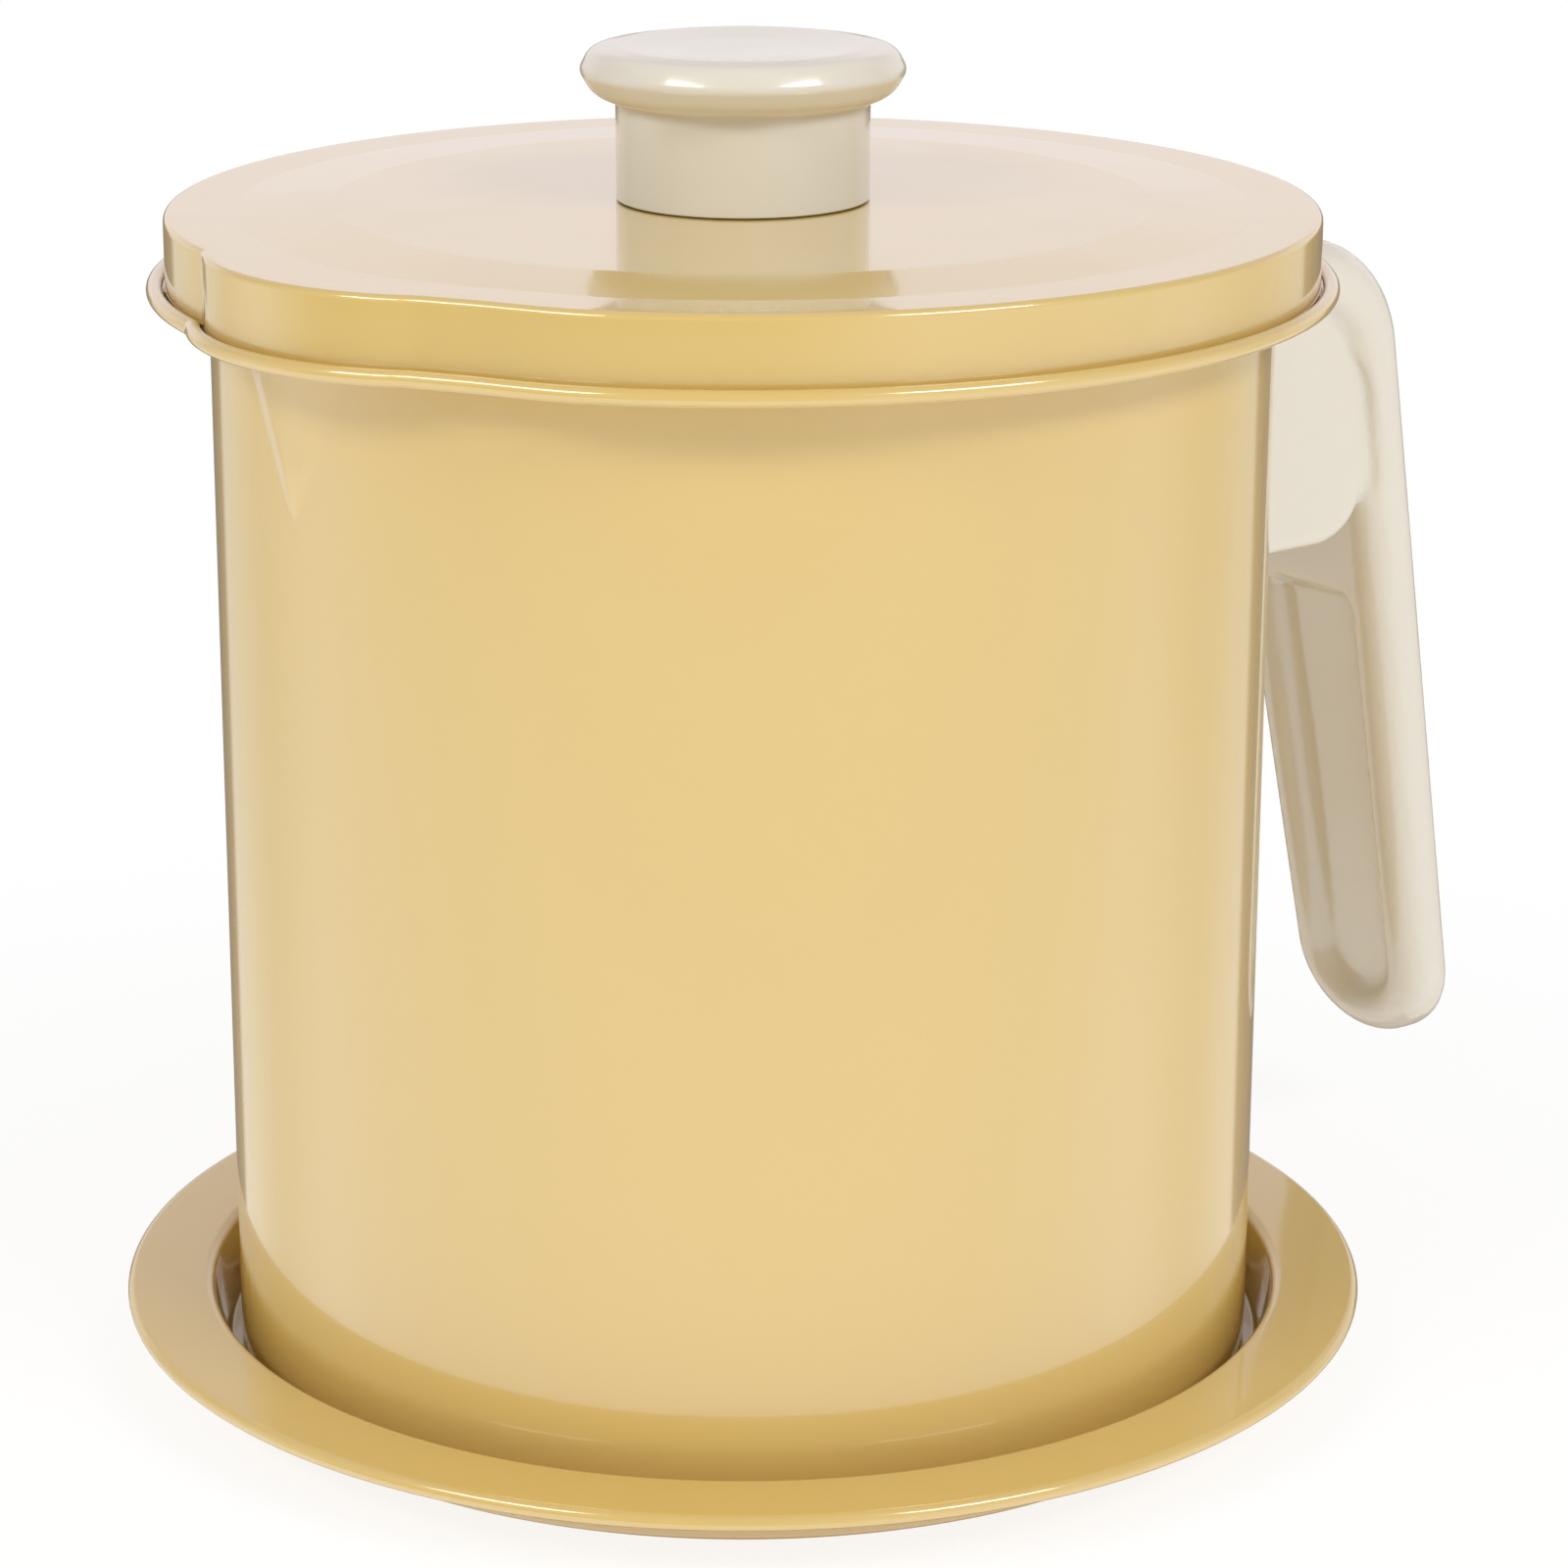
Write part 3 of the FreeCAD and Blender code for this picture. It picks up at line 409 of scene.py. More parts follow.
LIP_DEPTH = 19.4           # the V's point lies this far below the ledge
LIP_SIDE = 1.35            # and this far aside of the X axis
LIP_HALF = 1.07            # half of the V's width at its point, and how fast it grows upward
LIP_TAPER = 0.54
LIP_POINT_DROP = 0.7       # the blunt point reaches this far below, and rounds over this height
LIP_POINT_ROUND = 1.2
LIP_SLOPE = 0.29           # slope of the left flank, and what it gains toward the ledge
LIP_SLOPE_GAIN = 0.10
LIP_GAIN_SPAN = 9, 19
LIP_FLANK = 3.0            # widest flank, and its share of half the V where that is narrower
LIP_FLANK_SHARE = 0.8
LIP_CREASE = 0.04          # softness of the bend between flank and crest
LIP_EDGE = 0.03            # softness of the V's left edge, and what the right one has on top
LIP_EDGE_GAIN = 0.2
LIP_EDGE_SPAN = 0, 8
LIP_MARGIN = 4             # the V's edges are worked out this far beyond it
LIP_FACING = 0.8, 0.9      # the bulge fades in over these shares of straight toward the lip
LIP_WALL = 50, 60          # and over these radii, so that the floor stays round
ASIDE = 40                 # a place well beside the lip


def bulge(side, height):
    """How far the wall is pressed out at the pouring lip: a V with a blunt tip below, a flat flank on
    the left and a soft crest that runs out to the right."""
    above = height - (LEDGE - LIP_DEPTH)
    tip = np.sqrt(np.clip((above + LIP_POINT_DROP) / LIP_POINT_ROUND, 0, 1))
    half = np.maximum(LIP_HALF + LIP_TAPER * above, 0) * tip + 1e-6
    across = side - LIP_SIDE
    width = np.minimum(LIP_FLANK_SHARE * half, LIP_FLANK)
    slope = LIP_SLOPE + LIP_SLOPE_GAIN * ramp(above, *LIP_GAIN_SPAN)

    def flank_at(spot):
        fall = (half + LIP_SIDE) ** 2 - (spot + LIP_SIDE) ** 2
        return slope * (half - spot) - fall / (2 * POT_RADIUS)

    meeting = flank_at(half - width) / (2 * width * (2 * half - width))
    crest = meeting * (half + width - across) * (half + across)
    out = smooth_min(flank_at(across), crest, LIP_CREASE)
    on_left = ramp(across / half, -0.5, 0.5)
    soft = LIP_EDGE + LIP_EDGE_GAIN * (1 - on_left) * ramp(half, *LIP_EDGE_SPAN)
    near = (half > 0.01) & (np.abs(across) < half + LIP_MARGIN)
    return np.where(near, smooth_max(np.maximum(out, -2 * soft), 0 * out, soft), 0)


def pot_shape(radius, height, turns):
    """The nose draws the rim out and fades over the ledge, and the lip presses the wall out."""
    share = np.clip((radius - POT_RADIUS) / (BEAD_CENTRE - BEAD - POT_RADIUS), 0, 1)
    reach = radius + share * nose(turns)
    x, y = reach * np.cos(turns), reach * np.sin(turns)
    facing = ramp(-np.cos(turns), *LIP_FACING)
    on_wall = ramp(radius, *LIP_WALL)
    x = x - (1 - share) * on_wall * facing * bulge(np.where(facing > 0, y, ASIDE), height)
    return x, y


def make_pot():
    """One sheet: up the outside, round the rolled rim and down the inside."""
    under = math.degrees(math.asin((LEDGE_TOP - LEDGE) / BEAD))
    inner = POT_RADIUS - SHEET
    inner_round = FOOT_ROUND - SHEET
    outside = profile([(0, POT_FLOOR), (POT_RADIUS, POT_FLOOR, FOOT_ROUND),
                       (POT_RADIUS, LIP_BAND)], LONG_STEP)
    upper = profile([(POT_RADIUS, LIP_BAND), (POT_RADIUS, LEDGE, LEDGE_ROUND),
                     (BEAD_CENTRE - BEAD_MEETS_LEDGE * BEAD, LEDGE)], FINE_STEP, 6)
    roll = np.array(arc((BEAD_CENTRE, LEDGE_TOP), BEAD, 180 + under, 540, ROLL_POINTS))
    inside = profile([(BEAD_CENTRE - BEAD, LEDGE_TOP), (inner, LEDGE_TOP, inner_round),
                      (inner, LIP_BAND)], FINE_STEP)
    lower = profile([(inner, LIP_BAND), (inner, POT_FLOOR + SHEET, inner_round),
                     (0, POT_FLOOR + SHEET)], LONG_STEP)
    line = np.concatenate([outside, upper[1:], roll[1:], inside[1:], lower[1:]])
    turned("pot_shell", line, "pot", "yellow_paint", "pot_body", columns(), shape=pot_shape)


def lid_shape(radius, height, turns):
    """The lid's outer part follows the nose of the rim."""
    reach = radius + ramp(radius, *LID_NOSE) * nose(turns)
    return reach * np.cos(turns), reach * np.sin(turns)


def make_lid():
    """One sheet: over the top, down the skirt and back along the underside."""
    inner = LID_RADIUS - SHEET
    line = profile([
        (LID_HOLE, LID_TOP), (LID_MIDDLE, LID_TOP, LID_EASE), (LID_BORDER, LID_EDGE, LID_EASE),
        (LID_RADIUS, LID_EDGE, 0.8), (LID_RADIUS, LID_SEAT, 0.2), (inner, LID_SEAT, 0.2),
        (inner, LID_EDGE - SHEET, 0.5), (LID_BORDER, LID_EDGE - SHEET, LID_EASE),
        (LID_MIDDLE, LID_TOP - SHEET, LID_EASE), (LID_HOLE, LID_TOP - SHEET),
    ], LID_STEP)
    turned("lid_shell", line, "lid", "yellow_paint", "lid", columns(), closed=True, shape=lid_shape)


def make_tray():
    """Shallow dish whose rolled edge is part of the same sheet."""
    start = 180 - math.degrees(math.asin((TRAY_BRIM_UNDER - TRAY_BEAD_HEIGHT) / BEAD))
    meeting = TRAY_BEAD_CENTRE - 0.98 * BEAD
    below = profile([(0, 0), (TRAY_FOOT, 0, 1.4), (TRAY_NECK, TRAY_BRIM_UNDER, 0.6),
                     (meeting, TRAY_BRIM_UNDER)])
    roll = np.array(arc((TRAY_BEAD_CENTRE, TRAY_BEAD_HEIGHT), BEAD, start, 450, ROLL_POINTS))
    above = profile([(TRAY_BEAD_CENTRE, TRAY_BRIM_TOP), (TRAY_MOUTH, TRAY_BRIM_TOP, 1.4),
                     (TRAY_WELL, SHEET, 0.6), (0, SHEET)])
    line = np.concatenate([below, roll[1:], above[1:]])
    turned("tray_shell", line, "tray", "yellow_paint", "tray")


def make_knob():
    """From the insert's bore down and out under the neck, up the neck and over the dished head."""
    skirt = KNOB_NECK - KNOB_SKIRT_WALL
    corners = [
        (0, KNOB_SOCKET_TOP), (KNOB_SOCKET, KNOB_SOCKET_TOP, 0.3), (KNOB_SOCKET, 0, 0.2), (skirt, 0),
        (skirt, -KNOB_SKIRT, 0.1), (KNOB_NECK, -KNOB_SKIRT, 0.2), (KNOB_NECK, 11.5, 0.3),
        (18.3, 12.7, 3.4), (19.9, 15.4, 1.3), (18.6, 17.9, 2.2), (15.2, 18.45, 5.0),
        (8.0, 17.9, 12.0), (0, 17.75),
    ]
    line = profile([(radius, KNOB_BASE + up, *round_by) for radius, up, *round_by in corners], KNOB_STEP)
    turned("knob_shell", line, "lid", "cream_plastic", "knob")


# ---------------------------------------------------------------- handle

def crossing_points(values, axes, step):
    """One point per grid cell that the zero surface passes through, and the cells' numbers."""
    inside = values < 0
    size = np.array(values.shape) - 1
    total, count = np.zeros((*size, 3)), np.zeros(size)
    corners = [(i, j, k) for i in (0, 1) for j in (0, 1) for k in (0, 1)]

    def part(grid, corner):
        return grid[tuple(slice(c, c + n) for c, n in zip(corner, size))]

    for first in corners:
        for axis in range(3):
            if first[axis]:
                continue
            second = tuple(1 if index == axis else c for index, c in enumerate(first))
            cut = part(inside, first) != part(inside, second)
            start, end = part(values, first), part(values, second)
            share = np.where(cut, start / np.where(cut, start - end, 1), 0)
            for index in range(3):
                total[..., index] += cut * (share if index == axis else first[index])
            count += cut
    used = count > 0
    number = np.full(size, -1)
    number[used] = np.arange(used.sum())
    low = np.array([axis[0] for axis in axes])
    points = low + (np.argwhere(used) + total[used] / count[used][:, None]) * step
    return points, number, inside


def drawn_on(field, points, rounds=3, small=0.02):
    """The points moved onto the surface where a field is zero, along the field's slope."""
    for _ in range(rounds):
        value = field(*points.T)
        slopes = [(field(*(points + small * way).T) - field(*(points - small * way).T)) / (2 * small)
                  for way in np.eye(3)]
        slope = np.stack(slopes, -1)
        points = points - slope * (value / np.maximum((slope ** 2).sum(-1), 0.1))[:, None]
    return points


def surface(field, low, high, step):
    """A closed mesh of quads over the surface where a field is zero."""
    axes = [np.arange(a, b + step, step) for a, b in zip(low, high)]
    values = field(*np.meshgrid(*axes, indexing="ij"))
    points, number, inside = crossing_points(values, axes, step)
    faces = []
    for axis in range(3):
        one, two = (axis + 1) % 3, (axis + 2) % 3
        near = np.take(inside, range(inside.shape[axis] - 1), axis)
        far = np.take(inside, range(1, inside.shape[axis]), axis)
        for spot in np.argwhere(near != far):
            ring = []
            for side_one, side_two in ((0, 0), (1, 0), (1, 1), (0, 1)):
                cell = spot.copy()
                cell[one] -= side_one
                cell[two] -= side_two
                ring.append(int(number[tuple(cell)]))
            faces.append(ring)
    return drawn_on(field, points), faces


def rounded_both(first, second, radius):
    """Where two solids meet as a corner rounded with a radius."""
    a, b = first + radius, second + radius
    return np.minimum(np.maximum(a, b), 0) + np.hypot(np.maximum(a, 0), np.maximum(b, 0)) - radius


HANDLE_TOP = 134.9
HANDLE_LENGTH = 120.0
HANDLE_CORNER = 98.05      # where the top face and the grip's outer face would meet
GRIP_LEAN = math.radians(11.2)
GRIP_THICKNESS = 10.0
GRIP_HALF = 15.9           # half of the width at the top, and what it loses to the lower end
GRIP_TAPER = 3.7
GRIP_END = 12.2            # radius of the round lower end
GRIP_CROWN = 0.7           # how much thinner the grip is at its sides
GRIP_ROUND = 4.1
BEND_RADIUS = 18.9
BEND_X = HANDLE_CORNER - BEND_RADIUS * (1 - math.sin(GRIP_LEAN)) / math.cos(GRIP_LEAN)
BEND_Z = HANDLE_TOP - BEND_RADIUS

DENT_TOP = 50.6            # finger dent in the grip's inner face
DENT_LENGTH = 65.3
DENT_HALF = 8.4            # half of its width at the top, and what it loses to the lower end
DENT_TAPER = 1.1
DENT_END = 7.4             # radius of its round lower end, and how far up that end's centre is
DENT_END_CENTRE = 7.6
DENT_DEPTH = 3.0
DENT_CORNER = 3.0
DENT_DRAFT = math.radians(35)
DENT_EDGE = 1.5            # softness of its edge
DENT_EDGE_DEPTH = 0.2      # its sides reach their full width at this depth

BLOCK_FACE = 8.6           # block at the wall: its outer side lies this far inside the grip's
BLOCK_DROP = 42.4          # its underside and top, below the handle's top
BLOCK_TOP_DROP = 5
BLOCK_HALF = 13.5
BLOCK_CORNER = 10.5        # radius of its lower outer corner
BLOCK_ROUND = 2.0
CHEEK_FACE = 7.9           # flat cheek on each side of the block: how far inside it ends
CHEEK_TOP = 126.0
CHEEK_CORNER = 14.0
CHEEK_DRAFT = 0.6
CHEEK_SCALE = 0.86         # brings the sloping field back to about a distance
WALL_GAP = 0.15            # between the block and the pot's wall

SCREW_HEIGHT = 109.0
BRACKET_FACE = 80.0        # the hollow for the bracket ends here
CLAMP_FACE = 95.0          # and the counterbore for the screw's head starts here
HOLLOW_HALF = 9.3, 12.3    # half of the hollow's width and height
SCREW_BORE = 2.8
SCREW_COUNTERBORE = 5.6

# Softness of the handle's blends
DENT_FLOOR_BLEND = 1.0
BLOCK_BLEND = 0.9
CHEEK_BLEND = 0.4
WALL_BLEND = 0.3
BORE_BLEND = 0.25

HANDLE_GRID = (60.0, -18.0, 12.0), (124.0, 18.0, 137.0)
HANDLE_GRID_STEP = 0.75


def across_grip(x, z):
    """How far a point is from the bend's centre, measured across the leaning grip."""
    return (x - BEND_X) * math.cos(GRIP_LEAN) + (z - BEND_Z) * math.sin(GRIP_LEAN)


def outer_face(x, z):
    """How far a point is beyond the outer face of arm, bend and grip, seen from the side."""
    across, up = x - BEND_X, z - BEND_Z
    arm = up - BEND_RADIUS
    grip = across_grip(x, z) - BEND_RADIUS
    bend = np.hypot(across, up) - BEND_RADIUS
    along = across * math.sin(GRIP_LEAN) - up * math.cos(GRIP_LEAN)
    in_bend = (across > 0) & (along < 0)
    inner = np.where((across <= 0) & (along >= 0), np.maximum(arm, grip), np.where(across <= 0, arm, grip))
    return np.where(in_bend, bend, inner)


def grip_field(y, z, beyond):
    """Arm and grip: a crowned bar that narrows downward and has a round end."""
    half = GRIP_HALF - GRIP_TAPER * np.minimum((HANDLE_TOP - z) / (HANDLE_LENGTH - GRIP_END), 1)
    crown = GRIP_CROWN * (y / half) ** 2
    faces = np.abs(beyond + GRIP_THICKNESS / 2 + crown / 2) - (GRIP_THICKNESS - crown) / 2
    end_z = HANDLE_TOP - HANDLE_LENGTH + GRIP_END
    side = np.where(z < end_z, np.hypot(y, z - end_z) - GRIP_END, np.abs(y) - half)
    return rounded_both(faces, side, GRIP_ROUND)


def dent_field(x, y, z, beyond):
    """The dent's hollow: sloping sides, two rounded corners above and a round end below."""
    depth = beyond + GRIP_THICKNESS
    length = (HANDLE_CORNER - x) * -math.sin(GRIP_LEAN) + (HANDLE_TOP - z) * math.cos(GRIP_LEAN)
    half = DENT_HALF - DENT_TAPER * (length - DENT_TOP) / DENT_LENGTH
    low_end = DENT_TOP + DENT_LENGTH - DENT_END_CENTRE
    side = np.where(length > low_end, np.hypot(y, length - low_end) - DENT_END,
                    rounded_both(np.abs(y) - half, DENT_TOP - length, DENT_CORNER))
    sloped = side * math.cos(DENT_DRAFT) + (depth - DENT_EDGE_DEPTH) * math.sin(DENT_DRAFT)
    return smooth_max(depth - DENT_DEPTH, sloped, DENT_FLOOR_BLEND)


def handle_field(x, y, z):
    """Signed distance to the handle's surface."""
    beyond = outer_face(x, z)
    slab = smooth_max(grip_field(y, z, beyond), -dent_field(x, y, z, beyond), DENT_EDGE)
    under = HANDLE_TOP - BLOCK_DROP
    across = across_grip(x, z) - BEND_RADIUS
    proud = np.abs(y) - BLOCK_HALF
    block = rounded_both(rounded_both(across + BLOCK_FACE, under - z, BLOCK_CORNER), proud, BLOCK_ROUND)
    block = np.maximum(np.maximum(block, z - (HANDLE_TOP - BLOCK_TOP_DROP)), beyond + GRIP_THICKNESS / 2)
    body = smooth_min(slab, block, BLOCK_BLEND)
    plan = rounded_both(rounded_both(across + CHEEK_FACE, z - CHEEK_TOP, CHEEK_CORNER),
                        under - z, BLOCK_CORNER)
    cheek = np.maximum(-proud, (plan - CHEEK_DRAFT * proud) * CHEEK_SCALE)
    body = smooth_max(body, -cheek, CHEEK_BLEND)
    body = smooth_max(body, POT_RADIUS + WALL_GAP - np.hypot(x, y), WALL_BLEND)
    axis = np.hypot(y, z - SCREW_HEIGHT)
    wide, tall = HOLLOW_HALF
    hollow = np.maximum(np.maximum(np.abs(y) - wide, np.abs(z - SCREW_HEIGHT) - tall), x - BRACKET_FACE)
    counterbore = np.maximum(axis - SCREW_COUNTERBORE, CLAMP_FACE - x)
    for cut in (hollow, axis - SCREW_BORE, counterbore):
        body = smooth_max(body, -cut, BORE_BLEND)
    return body


def make_handle():
    points, faces = surface(handle_field, *HANDLE_GRID, HANDLE_GRID_STEP)
    build("handle_grip", points, faces, "pot", "cream_plastic", "handle", merge=0.01)


# ---------------------------------------------------------------- strainer

WEAVE_RADIUS = 55.8        # the wires end inside the clamp between cup and ring
WEAVE_PITCH = 1.3
WEAVE_HEIGHT = 106.2
WIRE_RADIUS = 0.15
WIRE_WAVE = 0.85           # a wire's rise and fall at each crossing, in wire radii
WIRE_SIDES = ((WIRE_RADIUS, 0), (0, WIRE_RADIUS), (-WIRE_RADIUS, 0), (0, -WIRE_RADIUS))


def make_mesh():
    """Woven wire disc: two sets of wires that pass over and under each other."""
    points, faces = [], []
    most = math.floor(WEAVE_RADIUS / WEAVE_PITCH)
    sides = len(WIRE_SIDES)
    for direction in (0, 1):
        for number in np.arange(-most, most + 1):
            chord = math.sqrt(WEAVE_RADIUS ** 2 - (number * WEAVE_PITCH) ** 2)
            reach = math.floor(chord / WEAVE_PITCH)
            steps = np.arange(-reach, reach + 1)
            if len(steps) < 2:
                continue
            lift = WIRE_RADIUS * WIRE_WAVE * np.where((steps + number + direction) % 2, 1, -1)
            start = len(points)
            for step, rise in zip(steps, lift):
                for side, up in WIRE_SIDES:
                    along, aside = step * WEAVE_PITCH, number * WEAVE_PITCH + side
                    height = WEAVE_HEIGHT + rise + up
                    points.append((along, aside, height) if direction == 0 else (aside, along, height))
            for step in range(len(steps) - 1):
                for side in range(sides):
                    one = start + step * sides + side
                    two = start + step * sides + (side + 1) % sides
                    faces.append((one, two, two + sides, one + sides))
            last = start + (len(steps) - 1) * sides
            faces += [tuple(range(end, end + sides)) for end in (start, last)]
    build("strainer_weave", np.array(points), faces, "strainer", "strainer_steel", "strainer_mesh",
          merge=1e-5)


def dress_nodes():
    """Gives the CAD pieces that stay their finishes."""
    finishes = {
        "bracket_steel": ["handle_bracket"],
        "screw_steel": ["bracket_nut", "handle_screw", "handle_washer", "knob_screw", "knob_washer"],
        "dark_rubber": ["knob_gasket"],
        "insert_brass": ["knob_insert"],
        "strainer_steel": ["strainer_cup", "strainer_ring"],
    }
    for slot, names in finishes.items():
        for name in names:
            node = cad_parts[name]
            node.data.materials.clear()
            node.data.materials.append(MATERIALS[slot])


# ---------------------------------------------------------------- floor, light, camera

CAMERA_TURN = math.radians(-38)

FLOOR_HALF = 6.0           # metres, as are the floor's other lengths
FLOOR_HEIGHT = -0.0003
FLOOR_COLOUR = (0.92, 0.92, 0.92, 1)
FLOOR_LIGHT = (1.0, 0.985, 0.96, 1), 0.23
FADE_REACH = 0.09, 0.26    # between these distances from the object the floor turns
FADE_WHITE = 0.80, 1.0     # from this share of white to white

AMBIENT = (1.0, 0.985, 0.965, 1), 0.52

# What glossy reflections see. Turns are angles from straight behind the object, ROOM_SHIFT aside,
# to either side. Each is the span over which the level changes.
ROOM_SHIFT = math.radians(4)
GAP = math.radians(29), math.radians(33)
WALL = math.radians(44), math.radians(56)
FRONT = math.radians(56), math.radians(85)
LOW_LEVEL, LOW_STEPS = 0.30, ((GAP, 0.58), (WALL, -0.05), (FRONT, 0.38))
HIGH_LEVEL, HIGH_STEPS = 0.95, ((WALL, -0.28), (FRONT, 0.15))
LOW_SHADE = (-0.42, -0.20), (1.12, 0.88)
HIGH_SHADE = (0.26, 0.44), (1.0, 0.65)
HORIZON = -0.03, 0.03
DIM_TOWARD = -0.5, -0.866
DIM_SIDE = (0.4, 0.95), (0.0, 0.8)
DIM_RISE = (-0.216, -0.194), (0.0, 1.0)
GAP_TINT = (1.0, 0.80, 0.62, 1)
LOW_TINT = (1.0, 0.935, 0.84, 1)
HIGH_TINT = (1.0, 0.935, 0.96, 1)
FRONT_TINT = (0.97, 1.0, 1.08, 1)
DIM_TINT = (1.0, 0.84, 0.40, 1)

LAMP_SIZE = 0.66, 0.30
LAMP_AIM = np.array([0, 0, 0.08])
LAMPS = (("left", (-0.86, -0.81, 1.00), 5.9), ("right", (0.86, -0.81, 1.00), 6.8))


def toward(x, y):
    """A place given as right of and away from the camera's line of sight, in the row frame."""
    return (x * math.cos(CAMERA_TURN) - y * math.sin(CAMERA_TURN),
            x * math.sin(CAMERA_TURN) + y * math.cos(CAMERA_TURN))


def make_stage():
    """Pale floor with a weak light of its own, which lights the object from below as a white table
    does. The camera sees it paler than it is, and fully white away from the object. Reflections see
    through it to the world."""
    mesh = bpy.data.meshes.new("floor")
    corners = [(x * FLOOR_HALF, y * FLOOR_HALF, FLOOR_HEIGHT)
               for x, y in ((-1, -1), (1, -1), (1, 1), (-1, 1))]
    mesh.from_pydata(corners, [], [(0, 1, 2, 3)])
    floor = bpy.data.objects.new("floor", mesh)
    bpy.context.scene.collection.objects.link(floor)
    material = bpy.data.materials.new("floor")
    material.use_nodes = True
    nodes = Nodes(material.node_tree)
    nodes.tree.nodes.clear()
    diffuse = nodes.add("ShaderNodeBsdfDiffuse")
    diffuse.inputs["Color"].default_value = FLOOR_COLOUR
    light = nodes.add("ShaderNodeEmission")
    light.inputs["Color"].default_value, light.inputs["Strength"].default_value = FLOOR_LIGHT
    lit = nodes.add("ShaderNodeAddShader")
    nodes.link(diffuse.outputs[0], lit.inputs[0])
    nodes.link(light.outputs[0], lit.inputs[1])
    white = nodes.add("ShaderNodeEmission")
    distance = nodes.add("ShaderNodeVectorMath", operation="LENGTH")
    nodes.link(nodes.add("ShaderNodeTexCoord").outputs["Object"], distance.inputs[0])
    fade = nodes.smooth(distance.outputs["Value"], FADE_REACH, FADE_WHITE)
    path = nodes.add("ShaderNodeLightPath")
    seen = nodes.maths("MULTIPLY", path.outputs["Is Camera Ray"], fade)
    shown = nodes.mix_shaders(seen, lit.outputs[0], white.outputs[0])
    clear = nodes.add("ShaderNodeBsdfTransparent")
    result = nodes.mix_shaders(path.outputs["Is Glossy Ray"], shown, clear.outputs[0])
    nodes.link(result, nodes.add("ShaderNodeOutputMaterial").inputs["Surface"])
    mesh.materials.append(material)


def room_light(nodes):
    """Level and tint of what glossy reflections see. Above the horizon it is bright behind the object
    and somewhat darker elsewhere. Below it, it is pale but for a dark gap straight behind the object
    and a dim warm patch just under the horizon, behind the camera on its left."""
    where = nodes.add("ShaderNodeTexCoord").outputs["Generated"]
    away, right, to_dim = [], [], []
    for found, direction in ((away, (0, 1)), (right, (1, 0)), (to_dim, DIM_TOWARD)):
        part = nodes.add("ShaderNodeVectorMath", operation="DOT_PRODUCT")
        part.inputs[1].default_value = (*toward(*direction), 0)
        nodes.link(where, part.inputs[0])
        found.append(part.outputs["Value"])
    split = nodes.add("ShaderNodeSeparateXYZ")
    nodes.link(where, split.inputs[0])
    rise = split.outputs["Z"]
    turn = nodes.maths("ARCTAN2", right[0], away[0])
    turn = nodes.maths("ABSOLUTE", nodes.maths("SUBTRACT", turn, ROOM_SHIFT))

    def level_of(start, steps, shade):
        total = 0.0
        for span, amount in steps:
            total = nodes.maths("ADD", total, nodes.smooth(turn, span, (0.0, amount)))
        return nodes.maths("MULTIPLY", nodes.maths("ADD", start, total), nodes.smooth(rise, *shade))

    dim = nodes.maths("MULTIPLY", nodes.smooth(to_dim[0], *DIM_SIDE), nodes.smooth(rise, *DIM_RISE))
    below = nodes.maths("SUBTRACT", level_of(LOW_LEVEL, LOW_STEPS, LOW_SHADE), dim)
    above = level_of(HIGH_LEVEL, HIGH_STEPS, HIGH_SHADE)
    upper = nodes.smooth(rise, HORIZON, (0.0, 1.0))
    lower = nodes.maths("SUBTRACT", 1.0, upper)
    level = nodes.maths("ADD", nodes.maths("MULTIPLY", above, upper), nodes.maths("MULTIPLY", below, lower))

    outside = nodes.maths("MAXIMUM", nodes.smooth(turn, GAP, (0.0, 1.0)), upper)
    tint = nodes.mix(outside, GAP_TINT, nodes.mix(upper, LOW_TINT, HIGH_TINT))
    tint = nodes.mix(nodes.smooth(turn, FRONT, (0.0, 1.0)), tint, FRONT_TINT)
    return level, nodes.mix(dim, tint, DIM_TINT)


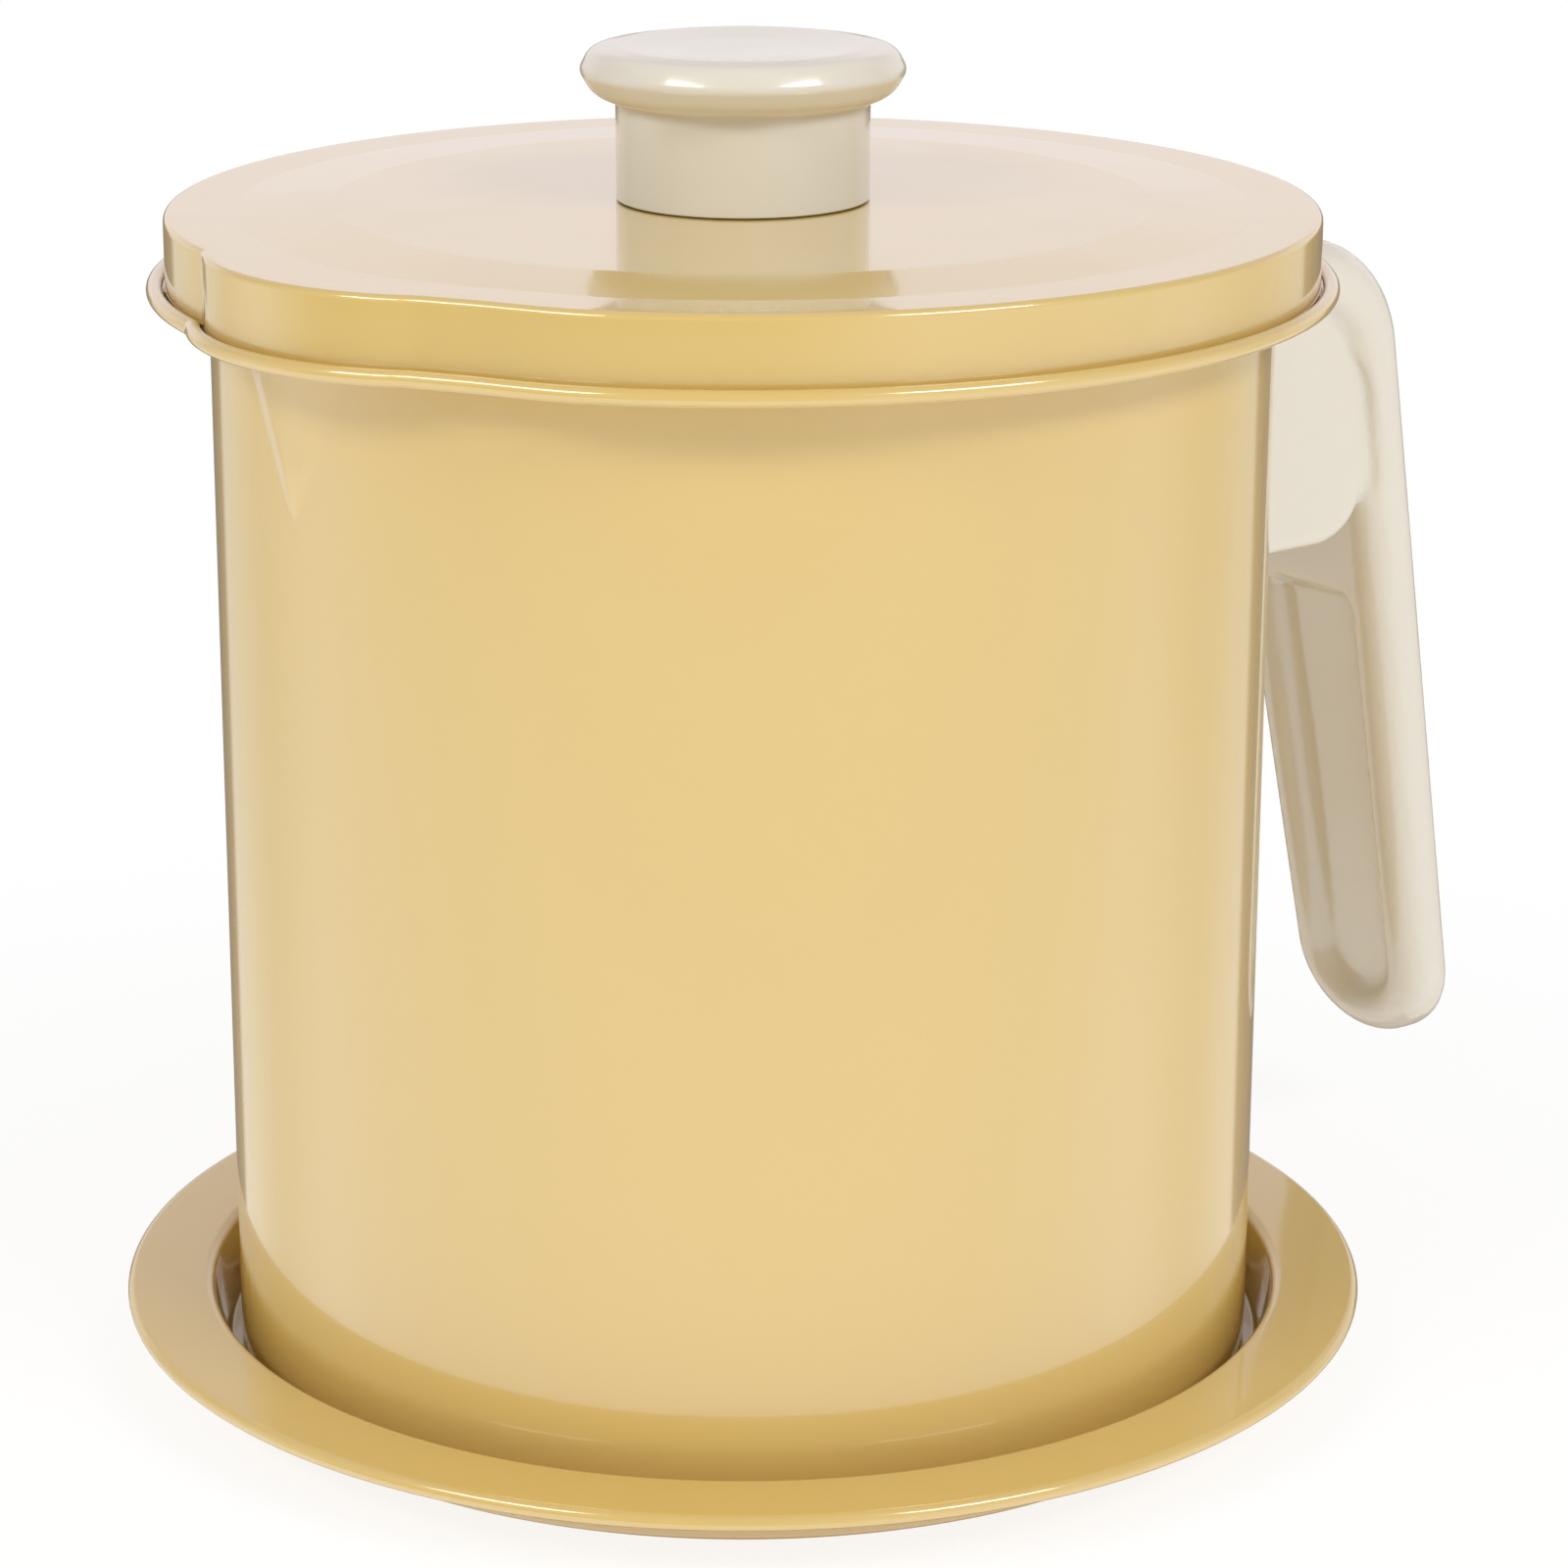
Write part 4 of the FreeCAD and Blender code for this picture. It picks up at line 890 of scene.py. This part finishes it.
def make_world():
    """Pale studio all round, white to the camera. Reflections see a room that differs by direction."""
    world = bpy.data.worlds.new("studio")
    world.use_nodes = True
    nodes = Nodes(world.node_tree)
    ambient = nodes.tree.nodes["Background"]
    ambient.inputs["Color"].default_value, ambient.inputs["Strength"].default_value = AMBIENT
    white = nodes.add("ShaderNodeBackground")
    white.inputs["Color"].default_value = (1.0, 1.0, 1.0, 1)
    room = nodes.add("ShaderNodeBackground")
    level, tint = room_light(nodes)
    nodes.link(level, room.inputs["Strength"])
    nodes.link(tint, room.inputs["Color"])
    path = nodes.add("ShaderNodeLightPath")
    seen = nodes.maths("MAXIMUM", path.outputs["Is Camera Ray"], path.outputs["Is Transmission Ray"])
    unseen = nodes.mix_shaders(path.outputs["Is Glossy Ray"], ambient.outputs[0], room.outputs[0])
    result = nodes.mix_shaders(seen, unseen, white.outputs[0])
    nodes.link(result, nodes.tree.nodes["World Output"].inputs["Surface"])
    bpy.context.scene.world = world


def make_lights():
    """Two softboxes in front of the object, above it and to either side."""
    for name, (right, away, height), power in LAMPS:
        lamp = bpy.data.lights.new(name, "AREA")
        lamp.shape = "RECTANGLE"
        lamp.size, lamp.size_y = LAMP_SIZE
        lamp.energy = power
        item = bpy.data.objects.new(name, lamp)
        bpy.context.scene.collection.objects.link(item)
        place = np.array([*toward(right, away), height])
        x, y, z = LAMP_AIM - place
        item.location = place
        item.rotation_euler = (math.pi / 2 - math.atan2(-z, math.hypot(x, y)), 0,
                               math.atan2(y, x) - math.pi / 2)


def make_camera():
    """The photo's viewpoint, solved from the round outlines of lid, rim, foot and tray."""
    camera = bpy.data.cameras.new("photo_view")
    camera.sensor_width = 36.0
    camera.sensor_fit = "HORIZONTAL"
    camera.lens = 109.436
    camera.shift_x = 0.02616
    camera.clip_start = 0.05
    item = bpy.data.objects.new("photo_view", camera)
    bpy.context.scene.collection.objects.link(item)
    distance, height, tilt = 0.57598, 0.24571, 0.292028
    item.location = (*toward(0, -distance), height)
    item.rotation_euler = (math.pi / 2 - tilt, 0, CAMERA_TURN)
    bpy.context.scene.camera = item


make_tray()
make_pot()
make_handle()
make_lid()
make_knob()
make_mesh()
dress_nodes()
make_stage()
make_world()
make_lights()
make_camera()
bpy.context.scene.view_settings.view_transform = "Standard"

bpy.context.view_layer.update()
